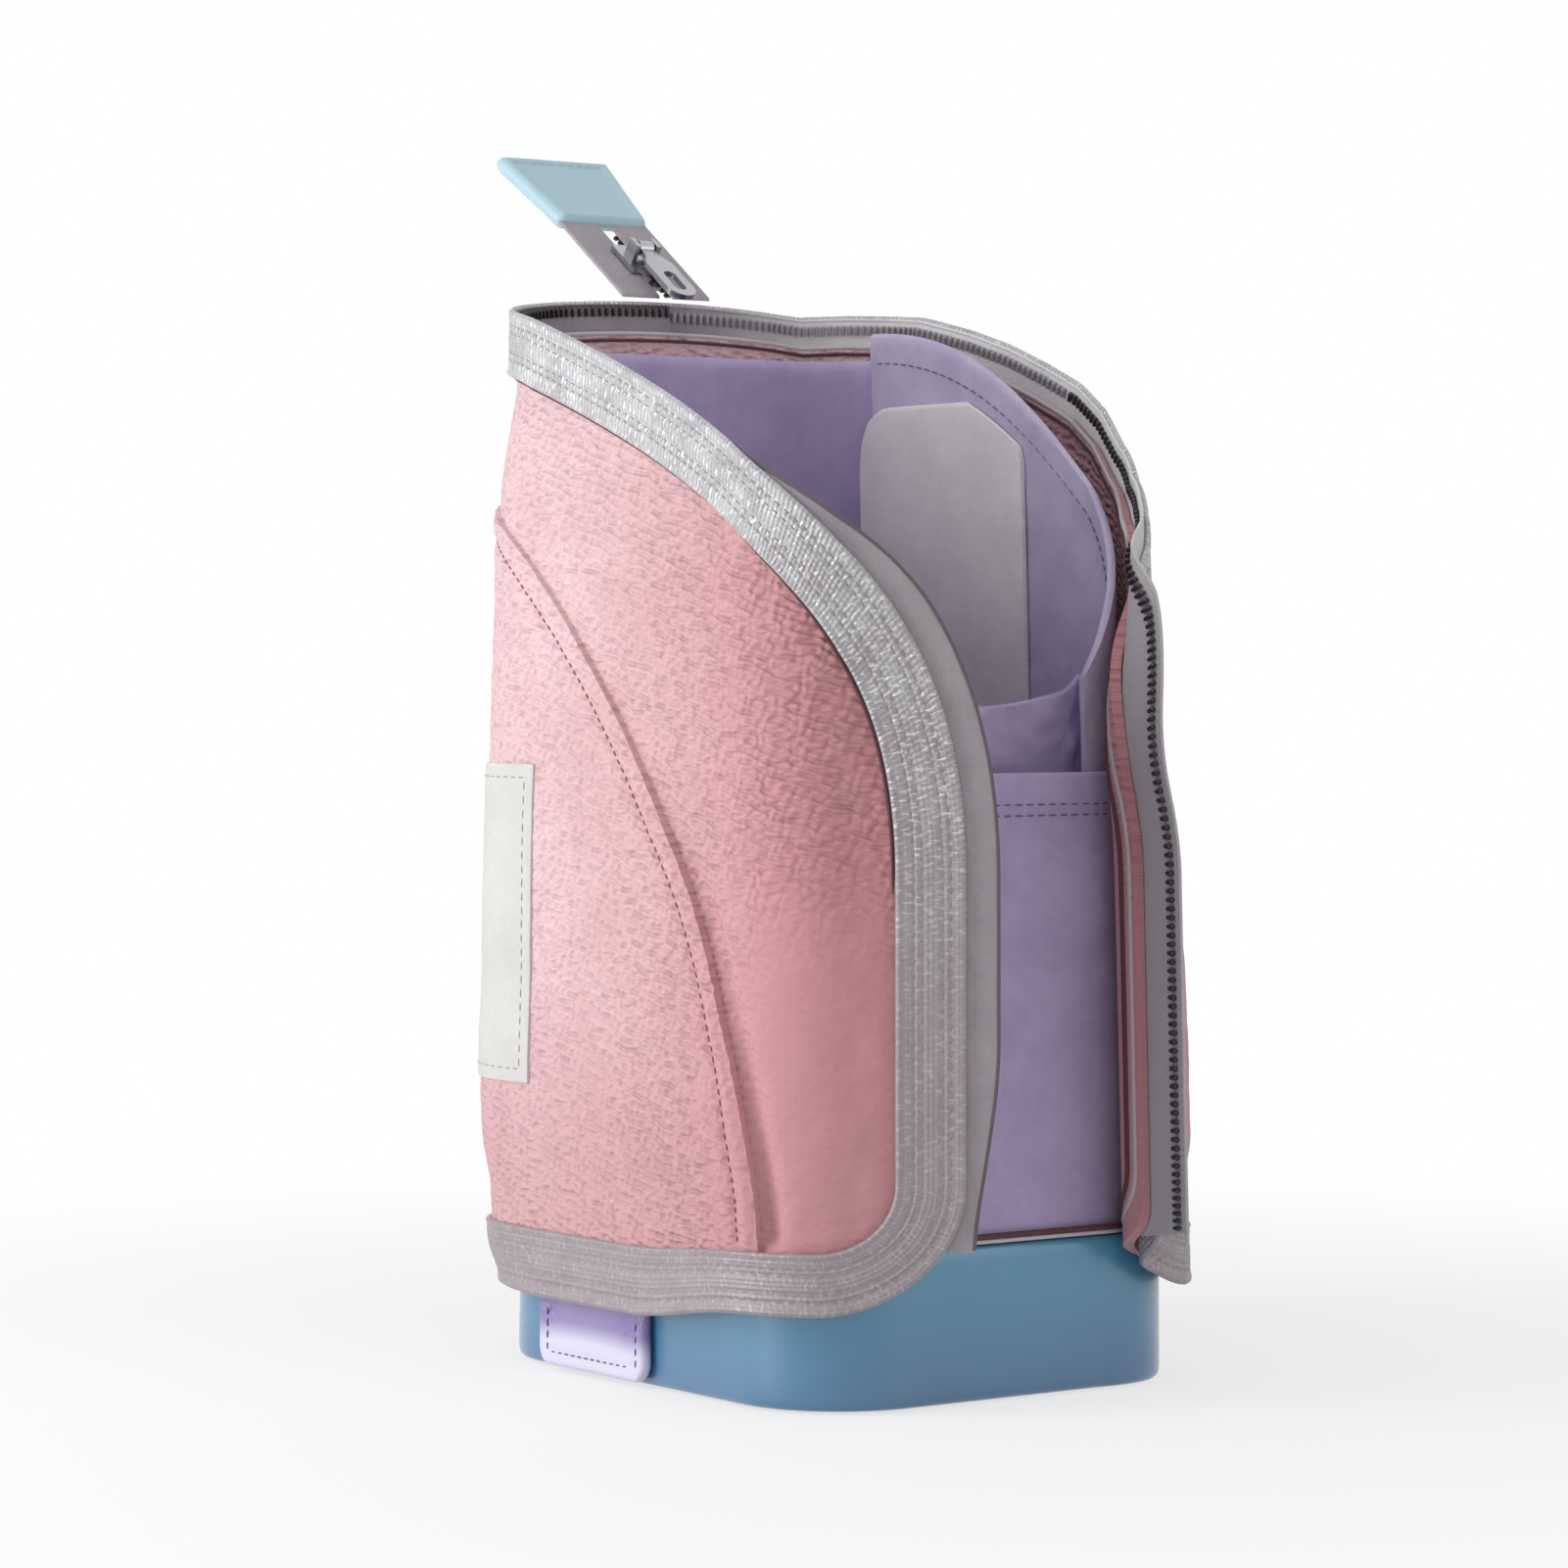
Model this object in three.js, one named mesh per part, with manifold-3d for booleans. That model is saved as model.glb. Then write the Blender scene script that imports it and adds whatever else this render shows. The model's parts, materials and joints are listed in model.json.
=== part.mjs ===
// Stand-up pencil pouch, standing open on its base. Millimetres, +Z up.
// The spine is at -X, the end that opens is at +X, and the side with the pull tab faces -Y.
// The origin is the middle of the underside. Every wall follows one plan: a rounded
// rectangle, walked from the middle of the spine along the front or the back.

import * as THREE from 'three';
import * as BufferGeometryUtils from 'three/addons/utils/BufferGeometryUtils.js';
import Module from 'manifold-3d';

const wasm = await Module();
wasm.setup();

// Base and plan
const BASE_LENGTH = 110;
const BASE_WIDTH = 88;
const BASE_HEIGHT = 28;
const BASE_WALL = 1.8;
const BASE_FOOT_INSET = 3.2;
const BASE_FOOT_RISE = 4.5;
const SPINE_RADIUS = 20;
const END_RADIUS = 22;
const FLOOR_THICKNESS = 1.4;
const BOARD_THICKNESS = 2;
const FLOOR_LINING = 0.8;

// Shell of the pouch
const SPINE_TOP = 205;
const SPINE_CROWN = 6;
const SHELL_BOTTOM = 14;
const SHELL_LEAN = 5.5;
const FRONT_WING_REACH = 22.6;
const FLAP_STRAIGHT_TOP = 95;
const FLAP_CORNER_RADIUS = 27;
const TOP_BULGE_REACH_SHARE = 0.69;
const TOP_BULGE_DROP = 25;
const SIDE_BULGE_RISE = 58;
const SPINE_WRAP = 9.5;
const FRONT_TURN = THREE.MathUtils.degToRad(54);
const BACK_TURN = THREE.MathUtils.degToRad(80);
const BACK_FLARE = THREE.MathUtils.degToRad(75);
const WING_CLOSE_FRONT = THREE.MathUtils.degToRad(21);

// Layers of the shell, from the base's outer face outwards
const SHELL_CLEARANCE = 2.8;
const LINING_THICKNESS = 0.6;
const PANEL_THICKNESS = 1.4;
const OVERLAY_THICKNESS = 0.7;
const BINDING_THICKNESS = 0.9;
const LABEL_THICKNESS = 0.5;
const LAYER_GAP = 0.2;
const PART_GAP = 0.3;

// Webbing binding and zip
const BINDING_WIDTH = 12;
const PANEL_INSET = 5;
const PANEL_FOOT_INSET = 1;
const TAPE_ROOT = 9;
const TAPE_TOP_PROUD = -0.8;
const TAPE_SIDE_PROUD = 5.8;
const TAPE_FOOT = 27;
const COIL_PITCH = 3.6;
const COIL_EDGE = 0.8;
const COIL_WIDTH = 2.6;
const COIL_NECK = 1.1;
const COIL_THICKNESS = 1.2;
const COIL_NECK_THICKNESS = 0.7;

// Lapped lower panel: heights at shares of the flap's reach, spine middle first
const SEAM_REACH = 79;
const SEAM_TOP_SPINE = 168;
const SEAM_TOP_FLAP = 148;
const SEAM_RISE_SHARES = [
  [0, 1], [0.25, 0.867], [0.5, 0.711], [0.727, 0.535], [0.893, 0.334], [0.972, 0.172], [1, 0],
];
const SEAM_FOOT = 20;

// Core of lining fabric
const CORE_CLEARANCE = 0.3;
const CORE_WALL = 1.2;
const CORE_SPINE_OUT = 2.5;
const CORE_SPINE_WALL = 4;
const CORE_TOP_BACK = 197;
const CORE_TOP_FRONT = 188;
const CORE_TOP_SPINE = 194;
const CORE_END_TOP = 131;
const CORE_END_SAG = 6;
const CORE_CURVE_START_SHARE = 0.39;
const CORE_CURVE_END_SHARE = 0.6;
const CORE_CURVE_MID_SHARE = 0.4;
const POCKET_DEPTH = 6.5;
const POCKET_TOP = 113;
const POCKET_WALL = 1.2;
const POCKET_OUT = -0.4;
const POCKET_WRAP = 7;
const END_WALL_WRAP = 12;
const SLIP_POCKET_LEFT = -40;
const SLIP_POCKET_RIGHT = 9;
const SLIP_POCKET_TOP = 184;
const SLIP_POCKET_FOOT = 96;
const SLIP_POCKET_ROUND = 12;
const SLIP_POCKET_WALL = 0.9;

// Label patch round the spine's front corner
const LABEL_WIDTH = 44;
const LABEL_HEIGHT = 60;
const LABEL_FOOT = 54;
const LABEL_REACH = 8;

// Pull tab on the base
const TAB_WIDTH = 36;
const TAB_CENTRE_X = -12;
const TAB_THICKNESS = 2;
const TAB_ROOT_THICKNESS = 1.2;
const TAB_STAND_OFF = 0.5;
const TAB_FOOT = 0.6;
const TAB_TOP = 24;
const TAB_FOLD = 13.6;
const TAB_ROUND = 4;

// Zip end, slider and blue end tab; the zip end leans out over the spine
const TAIL_LEAN = THREE.MathUtils.degToRad(35);
const TAIL_LENGTH = 28;
const TAIL_HALF_WIDTH = 10.5;
const TAIL_SLIT = 3;
const TAIL_THICKNESS = 0.8;
const TAIL_FOOT_GAP = 0.8;
const TAIL_COIL_START = 3;
const END_TAB_LENGTH = 25;
const END_TAB_OUTER_WIDTH = 27.5;
const END_TAB_INNER_WIDTH = 21.5;
const END_TAB_THICKNESS = 3.2;
const END_TAB_ROUND = 2.2;
const END_TAB_HOLD = 8;
const SLIDER_LENGTH = 9.5;
const SLIDER_WIDTH = 8.4;
const SLIDER_PLATE = 1;
const SLIDER_START = 13;
const SLIDER_CLEARANCE = 0.3;
const SLIDER_BRIDGE = 2.2;
const EAR_THICKNESS = 1;
const EAR_SPACE = 3.8;
const EAR_HEIGHT = 3.6;
const EAR_LENGTH = 3.4;
const PIN_RADIUS = 0.7;
const PIN_HEIGHT = 2.2;
const EYE_RADIUS = 1.5;
const EYE_BORE = 0.95;
const PULLER_LENGTH = 19;
const PULLER_WIDTH = 6.4;
const PULLER_THICKNESS = 1.1;
const PULLER_SLOT_LENGTH = 7;
const PULLER_SLOT_WIDTH = 2.6;
const PULLER_SLOT_END = 2.2;
const OVERRUN = 2;

// Facets
const ARC_STEP = 5;
const LINE_STEP = 9;
const WING_STEP = 6;
const CURVE_STEPS = 14;
const CORNER_STEPS = 6;

// Values worked out from the sizes above
const HALF_LENGTH = BASE_LENGTH / 2;
const HALF_WIDTH = BASE_WIDTH / 2;
const SPINE_LINE = HALF_WIDTH - SPINE_RADIUS;
const FRONT_LINE = BASE_LENGTH - SPINE_RADIUS - END_RADIUS;
const END_LINE = HALF_WIDTH - END_RADIUS;
const RIGHT_ANGLE = Math.PI / 2;
const LINING_IN = SHELL_CLEARANCE;
const LINING_OUT = LINING_IN + LINING_THICKNESS;
const PANEL_IN = LINING_OUT + LAYER_GAP;
const PANEL_OUT = PANEL_IN + PANEL_THICKNESS;
const OVERLAY_IN = PANEL_OUT + LAYER_GAP;
const OVERLAY_OUT = OVERLAY_IN + OVERLAY_THICKNESS;
const BINDING_IN = OVERLAY_OUT + LAYER_GAP;
const BINDING_OUT = BINDING_IN + BINDING_THICKNESS;
const CORE_OUT = -BASE_WALL - CORE_CLEARANCE;
const CORE_IN = CORE_OUT - CORE_WALL;
const POCKET_IN = POCKET_OUT - POCKET_WALL;
const END_WALL_OUT = POCKET_IN - POCKET_DEPTH;
const END_WALL_IN = END_WALL_OUT - CORE_WALL;
const SPINE_ARC = (SPINE_RADIUS + PANEL_OUT) * RIGHT_ANGLE;
const FLAP_START = SPINE_LINE + SPINE_ARC;
const FLAP_REACH = FRONT_LINE + (END_RADIUS + PANEL_OUT) * FRONT_TURN + FRONT_WING_REACH;
const SPLIT = FLAP_START + SPINE_WRAP;
const FLAP_END = FLAP_START + FLAP_REACH;

const materials = {
  pink: { color: 0xd9a0a2, roughness: 0.85, metalness: 0 },
  pinkPlain: { color: 0xcc8a8f, roughness: 0.8, metalness: 0 },
  lining: { color: 0xc8a4b4, roughness: 0.75, metalness: 0 },
  lavender: { color: 0xb9aed0, roughness: 0.6, metalness: 0 },
  purple: { color: 0x86789b, roughness: 0.85, metalness: 0 },
  webbing: { color: 0xc9c6ca, roughness: 0.7, metalness: 0 },
  tape: { color: 0x8e888c, roughness: 0.85, metalness: 0 },
  coil: { color: 0x1c1a1e, roughness: 0.4, metalness: 0 },
  blue: { color: 0x5b87a0, roughness: 0.35, metalness: 0 },
  blueLight: { color: 0xa5c8d7, roughness: 0.4, metalness: 0 },
  tab: { color: 0xcdc8e1, roughness: 0.4, metalness: 0 },
  grey: { color: 0x8a8880, roughness: 0.85, metalness: 0 },
  label: { color: 0xf0eee8, roughness: 0.9, metalness: 0 },
  metal: { color: 0xb4b4b8, roughness: 0.3, metalness: 0.9 },
  board: { color: 0x6e6a64, roughness: 0.9, metalness: 0 },
};

const pouch = new THREE.Group();

function addPiece(name, geometry, finish, parent = pouch) {
  const mesh = new THREE.Mesh(geometry, new THREE.MeshStandardMaterial(materials[finish]));
  mesh.name = name;
  parent.add(mesh);
  return mesh;
}

// Plan walk. Distances are measured on a face that stands off the base by `reference`,
// so a flap keeps its cut length round the corners. Negative distances go round the back.
function makePlan(reference, endTurn, closes) {
  const stretches = [
    { length: SPINE_LINE, radius: 0, turn: 0 },
    { length: (SPINE_RADIUS + reference) * RIGHT_ANGLE, radius: SPINE_RADIUS, turn: RIGHT_ANGLE },
    { length: FRONT_LINE, radius: 0, turn: 0 },
    { length: (END_RADIUS + reference) * endTurn, radius: END_RADIUS, turn: endTurn },
  ];
  const half = stretches.reduce((sum, stretch) => sum + stretch.length, 0) + END_LINE;
  const walk = (distance) => {
    let along = distance;
    if (closes && along > half) along -= half * 2;
    if (closes && along < -half) along += half * 2;
    const side = along < 0 ? -1 : 1;
    let left = Math.abs(along);
    let x = -HALF_LENGTH;
    let y = 0;
    let heading = -RIGHT_ANGLE;
    for (const stretch of stretches) {
      const used = Math.min(left, stretch.length);
      if (stretch.turn > 0) {
        const centreX = x - Math.sin(heading) * stretch.radius;
        const centreY = y + Math.cos(heading) * stretch.radius;
        heading += stretch.turn * used / stretch.length;
        x = centreX + Math.sin(heading) * stretch.radius;
        y = centreY - Math.cos(heading) * stretch.radius;
      } else {
        x += Math.cos(heading) * used;
        y += Math.sin(heading) * used;
      }
      left -= used;
    }
    x += Math.cos(heading) * left;
    y += Math.sin(heading) * left;
    return { x, y: y * side, nx: Math.sin(heading), ny: -Math.cos(heading) * side, heading, side };
  };
  const ends = [];
  stretches.reduce((sum, stretch) => {
    ends.push(sum + stretch.length);
    return sum + stretch.length;
  }, 0);
  return { walk, half, ends };
}

const lean = (z) => SHELL_LEAN * z / SPINE_TOP;

// A point on a wall: distance along the plan, height, and stand-off from the base's face.
function onWall(plan, along, z, offset) {
  const at = plan.walk(along);
  const out = offset - lean(z);
  return [at.x + at.nx * out, at.y + at.ny * out, z];
}

// Distances along a plan between two places, closer together where it turns.
function stations(plan, from, to, wingStep = WING_STEP) {
  const [lineEnd, spineEnd, frontEnd, turnEnd] = plan.ends;
  const marks = [0, lineEnd, spineEnd, frontEnd, turnEnd, plan.half * 2];
  const steps = [LINE_STEP * 2, ARC_STEP, LINE_STEP, ARC_STEP, wingStep];
  const halfList = [];
  marks.slice(0, -1).forEach((mark, index) => {
    const length = marks[index + 1] - mark;
    const count = Math.max(1, Math.round(length / steps[index]));
    for (let step = 0; step < count; step += 1) halfList.push(mark + length * step / count);
  });
  const whole = [...halfList.slice(1).map((value) => -value), ...halfList].sort((a, b) => a - b);
  const margin = PART_GAP * 3;
  return [from, ...whole.filter((value) => value > from + margin && value < to - margin), to];
}

// Closed solid from a grid of points given twice, for its inner and its outer face.
function gridSolid(columns, rows, place, flipped) {
  const positions = [];
  const index = [];
  for (let face = 0; face < 2; face += 1) {
    for (let i = 0; i < columns; i += 1) {
      for (let j = 0; j < rows; j += 1) positions.push(...place(i, j, face));
    }
  }
  const vertex = (i, j, face) => face * columns * rows + i * rows + j;
  const triangle = (a, b, c) => (flipped ? index.push(a, c, b) : index.push(a, b, c));
  const quad = (a, b, c, d) => {
    triangle(a, b, c);
    triangle(a, c, d);
  };
  for (let i = 0; i < columns - 1; i += 1) {
    for (let j = 0; j < rows - 1; j += 1) {
      quad(vertex(i, j, 1), vertex(i + 1, j, 1), vertex(i + 1, j + 1, 1), vertex(i, j + 1, 1));
      quad(vertex(i, j, 0), vertex(i, j + 1, 0), vertex(i + 1, j + 1, 0), vertex(i + 1, j, 0));
    }
    const top = rows - 1;
    quad(vertex(i, 0, 0), vertex(i + 1, 0, 0), vertex(i + 1, 0, 1), vertex(i, 0, 1));
    quad(vertex(i, top, 1), vertex(i + 1, top, 1), vertex(i + 1, top, 0), vertex(i, top, 0));
  }
  for (let j = 0; j < rows - 1; j += 1) {
    const last = columns - 1;
    quad(vertex(0, j, 0), vertex(0, j, 1), vertex(0, j + 1, 1), vertex(0, j + 1, 0));
    quad(vertex(last, j, 1), vertex(last, j, 0), vertex(last, j + 1, 0), vertex(last, j + 1, 1));
  }
  const geometry = new THREE.BufferGeometry();
  geometry.setAttribute('position', new THREE.Float32BufferAttribute(positions, 3));
  geometry.setIndex(index);
  geometry.computeVertexNormals();
  return geometry;
}

// Wall between two heights that may change along the plan.
function wallSolid({ plan, side = 1, from, to, low, high, inner, outer }) {
  const places = stations(plan, from, to);
  const place = (i, j, face) => {
    const along = places[i];
    const z = j === 0 ? low(along) : high(along);
    return onWall(plan, along * side, z, face === 0 ? inner : outer);
  };
  return gridSolid(places.length, 2, place, side < 0);
}

// Points of a curve, spaced evenly along it.
function resample(points, count) {
  const lengths = [0];
  for (let i = 1; i < points.length; i += 1) {
    const [dx, dz] = [points[i][0] - points[i - 1][0], points[i][1] - points[i - 1][1]];
    lengths.push(lengths[i - 1] + Math.hypot(dx, dz));
  }
  const total = lengths[lengths.length - 1];
  const result = [];
  for (let k = 0; k < count; k += 1) {
    const want = total * k / (count - 1);
    let i = 1;
    while (i < points.length - 1 && lengths[i] < want) i += 1;
    const share = (want - lengths[i - 1]) / Math.max(lengths[i] - lengths[i - 1], Number.EPSILON);
    const mixed = [0, 1].map((axis) => THREE.MathUtils.lerp(points[i - 1][axis], points[i][axis], share));
    result.push(mixed);
  }
  return result;
}

// Flat ribbon between two curves of places on a wall.
function ribbonSolid({ plan, side, curveA, curveB, count, across, inner, outer }) {
  const edgeA = resample(curveA, count);
  const edgeB = resample(curveB, count);
  const place = (i, j, face) => {
    const share = j / across;
    const along = THREE.MathUtils.lerp(edgeA[i][0], edgeB[i][0], share);
    const z = THREE.MathUtils.lerp(edgeA[i][1], edgeB[i][1], share);
    return onWall(plan, along * side, z, face === 0 ? inner : outer);
  };
  return gridSolid(count, across + 1, place, side < 0);
}

// The flap's top edge: a low crown over the spine, then one curve down to the straight side.
const crownHeight = (along) => SPINE_TOP - SPINE_CROWN * (along / FLAP_START) ** 2;

const topCurve = new THREE.CubicBezierCurve(
  new THREE.Vector2(FLAP_START, SPINE_TOP - SPINE_CROWN),
  new THREE.Vector2(FLAP_START + FLAP_REACH * TOP_BULGE_REACH_SHARE, SPINE_TOP - SPINE_CROWN - TOP_BULGE_DROP),
  new THREE.Vector2(FLAP_END, FLAP_STRAIGHT_TOP + SIDE_BULGE_RISE),
  new THREE.Vector2(FLAP_END, FLAP_STRAIGHT_TOP),
);

// The top curve moved inwards, by an amount that may change along it.
function topEdge(inset) {
  const points = [];
  for (let step = 0; step <= CURVE_STEPS * 2; step += 1) {
    const t = step / (CURVE_STEPS * 2);
    const point = topCurve.getPoint(t);
    const tangent = topCurve.getTangent(t);
    const amount = inset(t);
    points.push([point.x + tangent.y * amount, point.y - tangent.x * amount]);
  }
  return points;
}

// Height of a falling curve at a distance along the plan.
function heightAt(points, along) {
  for (let i = 1; i < points.length; i += 1) {
    const [a, b] = [points[i - 1], points[i]];
    if (along <= b[0] && b[0] > a[0]) {
      return THREE.MathUtils.lerp(a[1], b[1], (along - a[0]) / (b[0] - a[0]));
    }
  }
  return points[points.length - 1][1];
}

function shellTop(inset) {
  const edge = topEdge(() => inset);
  return (along) => {
    const distance = Math.abs(along);
    if (distance <= edge[0][0]) return crownHeight(Math.min(distance, FLAP_START)) - inset;
    return heightAt(edge, distance);
  };
}

// Lower edge of the flap, rising round the corner at its free end.
function shellFoot(inset) {
  const radius = FLAP_CORNER_RADIUS - inset;
  const centre = FLAP_END - FLAP_CORNER_RADIUS;
  return (along) => {
    const over = Math.min(Math.max(Math.abs(along) - centre, 0), radius);
    return SHELL_BOTTOM + FLAP_CORNER_RADIUS - Math.sqrt(radius ** 2 - over ** 2);
  };
}

// The rim of the wing from its fold over the top, down the side and back along the foot.
function wingRim(inset, from) {
  const top = topEdge(() => inset).filter((point) => point[0] > from);
  const rim = [[from, heightAt(topEdge(() => inset), from)], ...top];
  const radius = FLAP_CORNER_RADIUS - inset;
  for (let step = 0; step <= CORNER_STEPS; step += 1) {
    const angle = RIGHT_ANGLE * step / CORNER_STEPS;
    const along = FLAP_END - FLAP_CORNER_RADIUS + Math.cos(angle) * radius;
    const z = SHELL_BOTTOM + FLAP_CORNER_RADIUS - Math.sin(angle) * radius;
    if (along > from + PART_GAP) rim.push([along, z]);
  }
  rim.push([from, shellFoot(inset)(from)]);
  return rim;
}

// How far the zip tape stands past the webbing: not at the top, most along the side.
function tapeInset(t) {
  const share = THREE.MathUtils.smoothstep(t, 0.3, 0.7);
  return -THREE.MathUtils.lerp(TAPE_TOP_PROUD, TAPE_SIDE_PROUD, share);
}

// Edge of the tape at a given distance inside its free edge, from one place to another.
function tapeEdge(inside, from, to) {
  const curve = topEdge((t) => tapeInset(t) + inside);
  curve.push([FLAP_END - tapeInset(1) - inside, TAPE_FOOT]);
  const inRange = curve.filter((point) => point[0] > from && (to === null || point[0] < to));
  const start = from < curve[0][0] ? [] : [[from, heightAt(curve, from)]];
  const finish = to === null ? [] : [[to, heightAt(curve, to)]];
  return [...start, ...inRange, ...finish];
}

// Toothed coil along an edge: each tooth has a narrow neck and a wide head.
function coilSolid({ plan, side, edge, inner, crossing }) {
  const stops = [];
  let length = 0;
  for (let i = 1; i < edge.length; i += 1) {
    length += Math.hypot(edge[i][0] - edge[i - 1][0], edge[i][1] - edge[i - 1][1]);
  }
  const teeth = Math.max(2, Math.round(length / COIL_PITCH));
  const phaseShares = [0, 0.3, 0.7];
  for (let tooth = 0; tooth < teeth; tooth += 1) {
    phaseShares.forEach((phase, index) => stops.push({ share: (tooth + phase) / teeth, head: index > 0 }));
  }
  stops.push({ share: 1, head: false });
  const dense = resample(edge, teeth * 6 + 1);
  const placed = stops.map(({ share, head }) => {
    const spot = share * (dense.length - 1);
    const i = Math.min(Math.floor(spot), dense.length - 2);
    const mixed = [0, 1].map((axis) => THREE.MathUtils.lerp(dense[i][axis], dense[i + 1][axis], spot - i));
    const run = [dense[i + 1][0] - dense[i][0], dense[i + 1][1] - dense[i][1]];
    const size = Math.hypot(...run);
    return { point: mixed, inward: [run[1] / size, -run[0] / size], head };
  });
  const place = (i, j, face) => {
    const { point, inward, head } = placed[i];
    const width = head ? COIL_WIDTH : COIL_NECK;
    const amount = j === 0 ? COIL_WIDTH : COIL_WIDTH - width;
    const thick = head ? COIL_THICKNESS : COIL_NECK_THICKNESS;
    const offset = face === 0 ? inner - thick : inner;
    const along = point[0] + inward[0] * amount;
    return onWall(plan, along * side, point[1] + inward[1] * amount, offset);
  };
  return gridSolid(placed.length, 2, place, crossing ? false : side < 0);
}

// Base: a band with a rounded foot, a bottom, a stiff board and a lining over it.
const basePlan = makePlan(0, RIGHT_ANGLE, true);

function loopSolid(profile) {
  const half = basePlan.half;
  const places = stations(basePlan, -half, half).slice(0, -1);
  const ring = profile.length;
  const positions = [];
  const index = [];
  for (const along of places) {
    const at = basePlan.walk(along);
    for (const [offset, z] of profile) positions.push(at.x + at.nx * offset, at.y + at.ny * offset, z);
  }
  for (let i = 0; i < places.length; i += 1) {
    const next = (i + 1) % places.length;
    for (let j = 0; j < ring; j += 1) {
      const up = (j + 1) % ring;
      const [a, b, c, d] = [i * ring + j, next * ring + j, next * ring + up, i * ring + up];
      index.push(a, b, c, a, c, d);
    }
  }
  const geometry = new THREE.BufferGeometry();
  geometry.setAttribute('position', new THREE.Float32BufferAttribute(positions, 3));
  geometry.setIndex(index);
  geometry.computeVertexNormals();
  return geometry;
}

function floorPlate(offset, low, thickness) {
  const half = basePlan.half;
  const shape = new THREE.Shape();
  stations(basePlan, -half, half).slice(0, -1).forEach((along, index) => {
    const at = basePlan.walk(along);
    const [x, y] = [at.x + at.nx * offset, at.y + at.ny * offset];
    if (index === 0) shape.moveTo(x, y);
    else shape.lineTo(x, y);
  });
  const geometry = new THREE.ExtrudeGeometry(shape, { depth: thickness, bevelEnabled: false });
  geometry.translate(0, 0, low);
  return geometry;
}

function buildBase() {
  const footRise = BASE_FOOT_RISE;
  const band = [
    [-BASE_FOOT_INSET, 0],
    [-BASE_FOOT_INSET * 0.42, footRise * 0.12],
    [-BASE_FOOT_INSET * 0.1, footRise * 0.45],
    [0, footRise],
    [0, BASE_HEIGHT],
    [-BASE_WALL, BASE_HEIGHT],
    [-BASE_WALL, footRise],
    [-BASE_FOOT_INSET, FLOOR_THICKNESS],
  ];
  addPiece('base_band', loopSolid(band), 'blue');
  addPiece('base_bottom', floorPlate(-BASE_FOOT_INSET - PART_GAP, 0, FLOOR_THICKNESS), 'blue');
  const boardFoot = FLOOR_THICKNESS + LAYER_GAP;
  const boardInset = -BASE_FOOT_INSET - PART_GAP;
  addPiece('base_board', floorPlate(boardInset, boardFoot, BOARD_THICKNESS), 'board');
  const liningFoot = boardFoot + BOARD_THICKNESS + LAYER_GAP;
  addPiece('floor_lining', floorPlate(boardInset, liningFoot, FLOOR_LINING), 'purple');
  return liningFoot + FLOOR_LINING + LAYER_GAP;
}

// Core: a padded wall along the spine, a wall along each side, and an end wall with a pocket.
const corePlan = makePlan(0, RIGHT_ANGLE, true);
const coreSideStart = corePlan.ends[1];
const coreSideEnd = corePlan.ends[3];

function coreSideTop(top) {
  const span = coreSideEnd - coreSideStart;
  const curve = new THREE.CubicBezierCurve(
    new THREE.Vector2(coreSideStart, top),
    new THREE.Vector2(coreSideStart + span * CORE_CURVE_START_SHARE, top),
    new THREE.Vector2(
      coreSideStart + span * CORE_CURVE_END_SHARE,
      THREE.MathUtils.lerp(CORE_END_TOP, top, CORE_CURVE_MID_SHARE),
    ),
    new THREE.Vector2(coreSideEnd, CORE_END_TOP),
  );
  const points = curve.getPoints(CURVE_STEPS * 2).map((point) => [point.x, point.y]);
  return (along) => heightAt(points, Math.abs(along));
}

function buildCore(foot) {
  const rim = BASE_HEIGHT + PART_GAP;
  addPiece('core_spine_wall', wallSolid({
    plan: corePlan, from: -coreSideStart + PART_GAP, to: coreSideStart - PART_GAP,
    low: () => rim, high: () => CORE_TOP_SPINE,
    inner: CORE_SPINE_OUT - CORE_SPINE_WALL, outer: CORE_SPINE_OUT,
  }), 'purple');
  addPiece('core_front_wall', wallSolid({
    plan: corePlan, from: coreSideStart, to: coreSideEnd,
    low: () => foot, high: coreSideTop(CORE_TOP_FRONT), inner: CORE_IN, outer: CORE_OUT,
  }), 'lavender');
  addPiece('core_back_wall', wallSolid({
    plan: corePlan, side: -1, from: coreSideStart, to: coreSideEnd,
    low: () => foot, high: coreSideTop(CORE_TOP_BACK), inner: CORE_IN, outer: CORE_OUT,
  }), 'lavender');
  const endReach = END_LINE + END_WALL_WRAP;
  const sag = (along) => {
    const share = Math.min(1, Math.abs(along - corePlan.half) / endReach);
    return CORE_END_TOP - CORE_END_SAG * Math.cos(share * RIGHT_ANGLE);
  };
  addPiece('core_end_wall', endWall(endReach, () => foot, sag, END_WALL_IN, END_WALL_OUT), 'purple');
  const pocketReach = END_LINE + POCKET_WRAP;
  addPiece('end_pocket', endWall(pocketReach, () => rim, () => POCKET_TOP, POCKET_IN, POCKET_OUT), 'purple');
}

// A wall across the open end, centred on the far end of the plan.
function endWall(reach, low, high, inner, outer) {
  const half = corePlan.half;
  const turnEnd = corePlan.ends[3];
  const steps = Math.round(reach / ARC_STEP) * 2;
  const places = [];
  for (let step = 0; step <= steps; step += 1) places.push(half - reach + reach * 2 * step / steps);
  const straight = places.filter((along) => Math.abs(along - half) > half - turnEnd || high(along) !== POCKET_TOP);
  const used = high(half) === POCKET_TOP ? [...straight, turnEnd, half * 2 - turnEnd] : places;
  used.sort((a, b) => a - b);
  const place = (i, j, face) => {
    const z = j === 0 ? low(used[i]) : high(used[i]);
    return onWall(corePlan, used[i], z, face === 0 ? inner : outer);
  };
  return gridSolid(used.length, 2, place, false);
}

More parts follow.
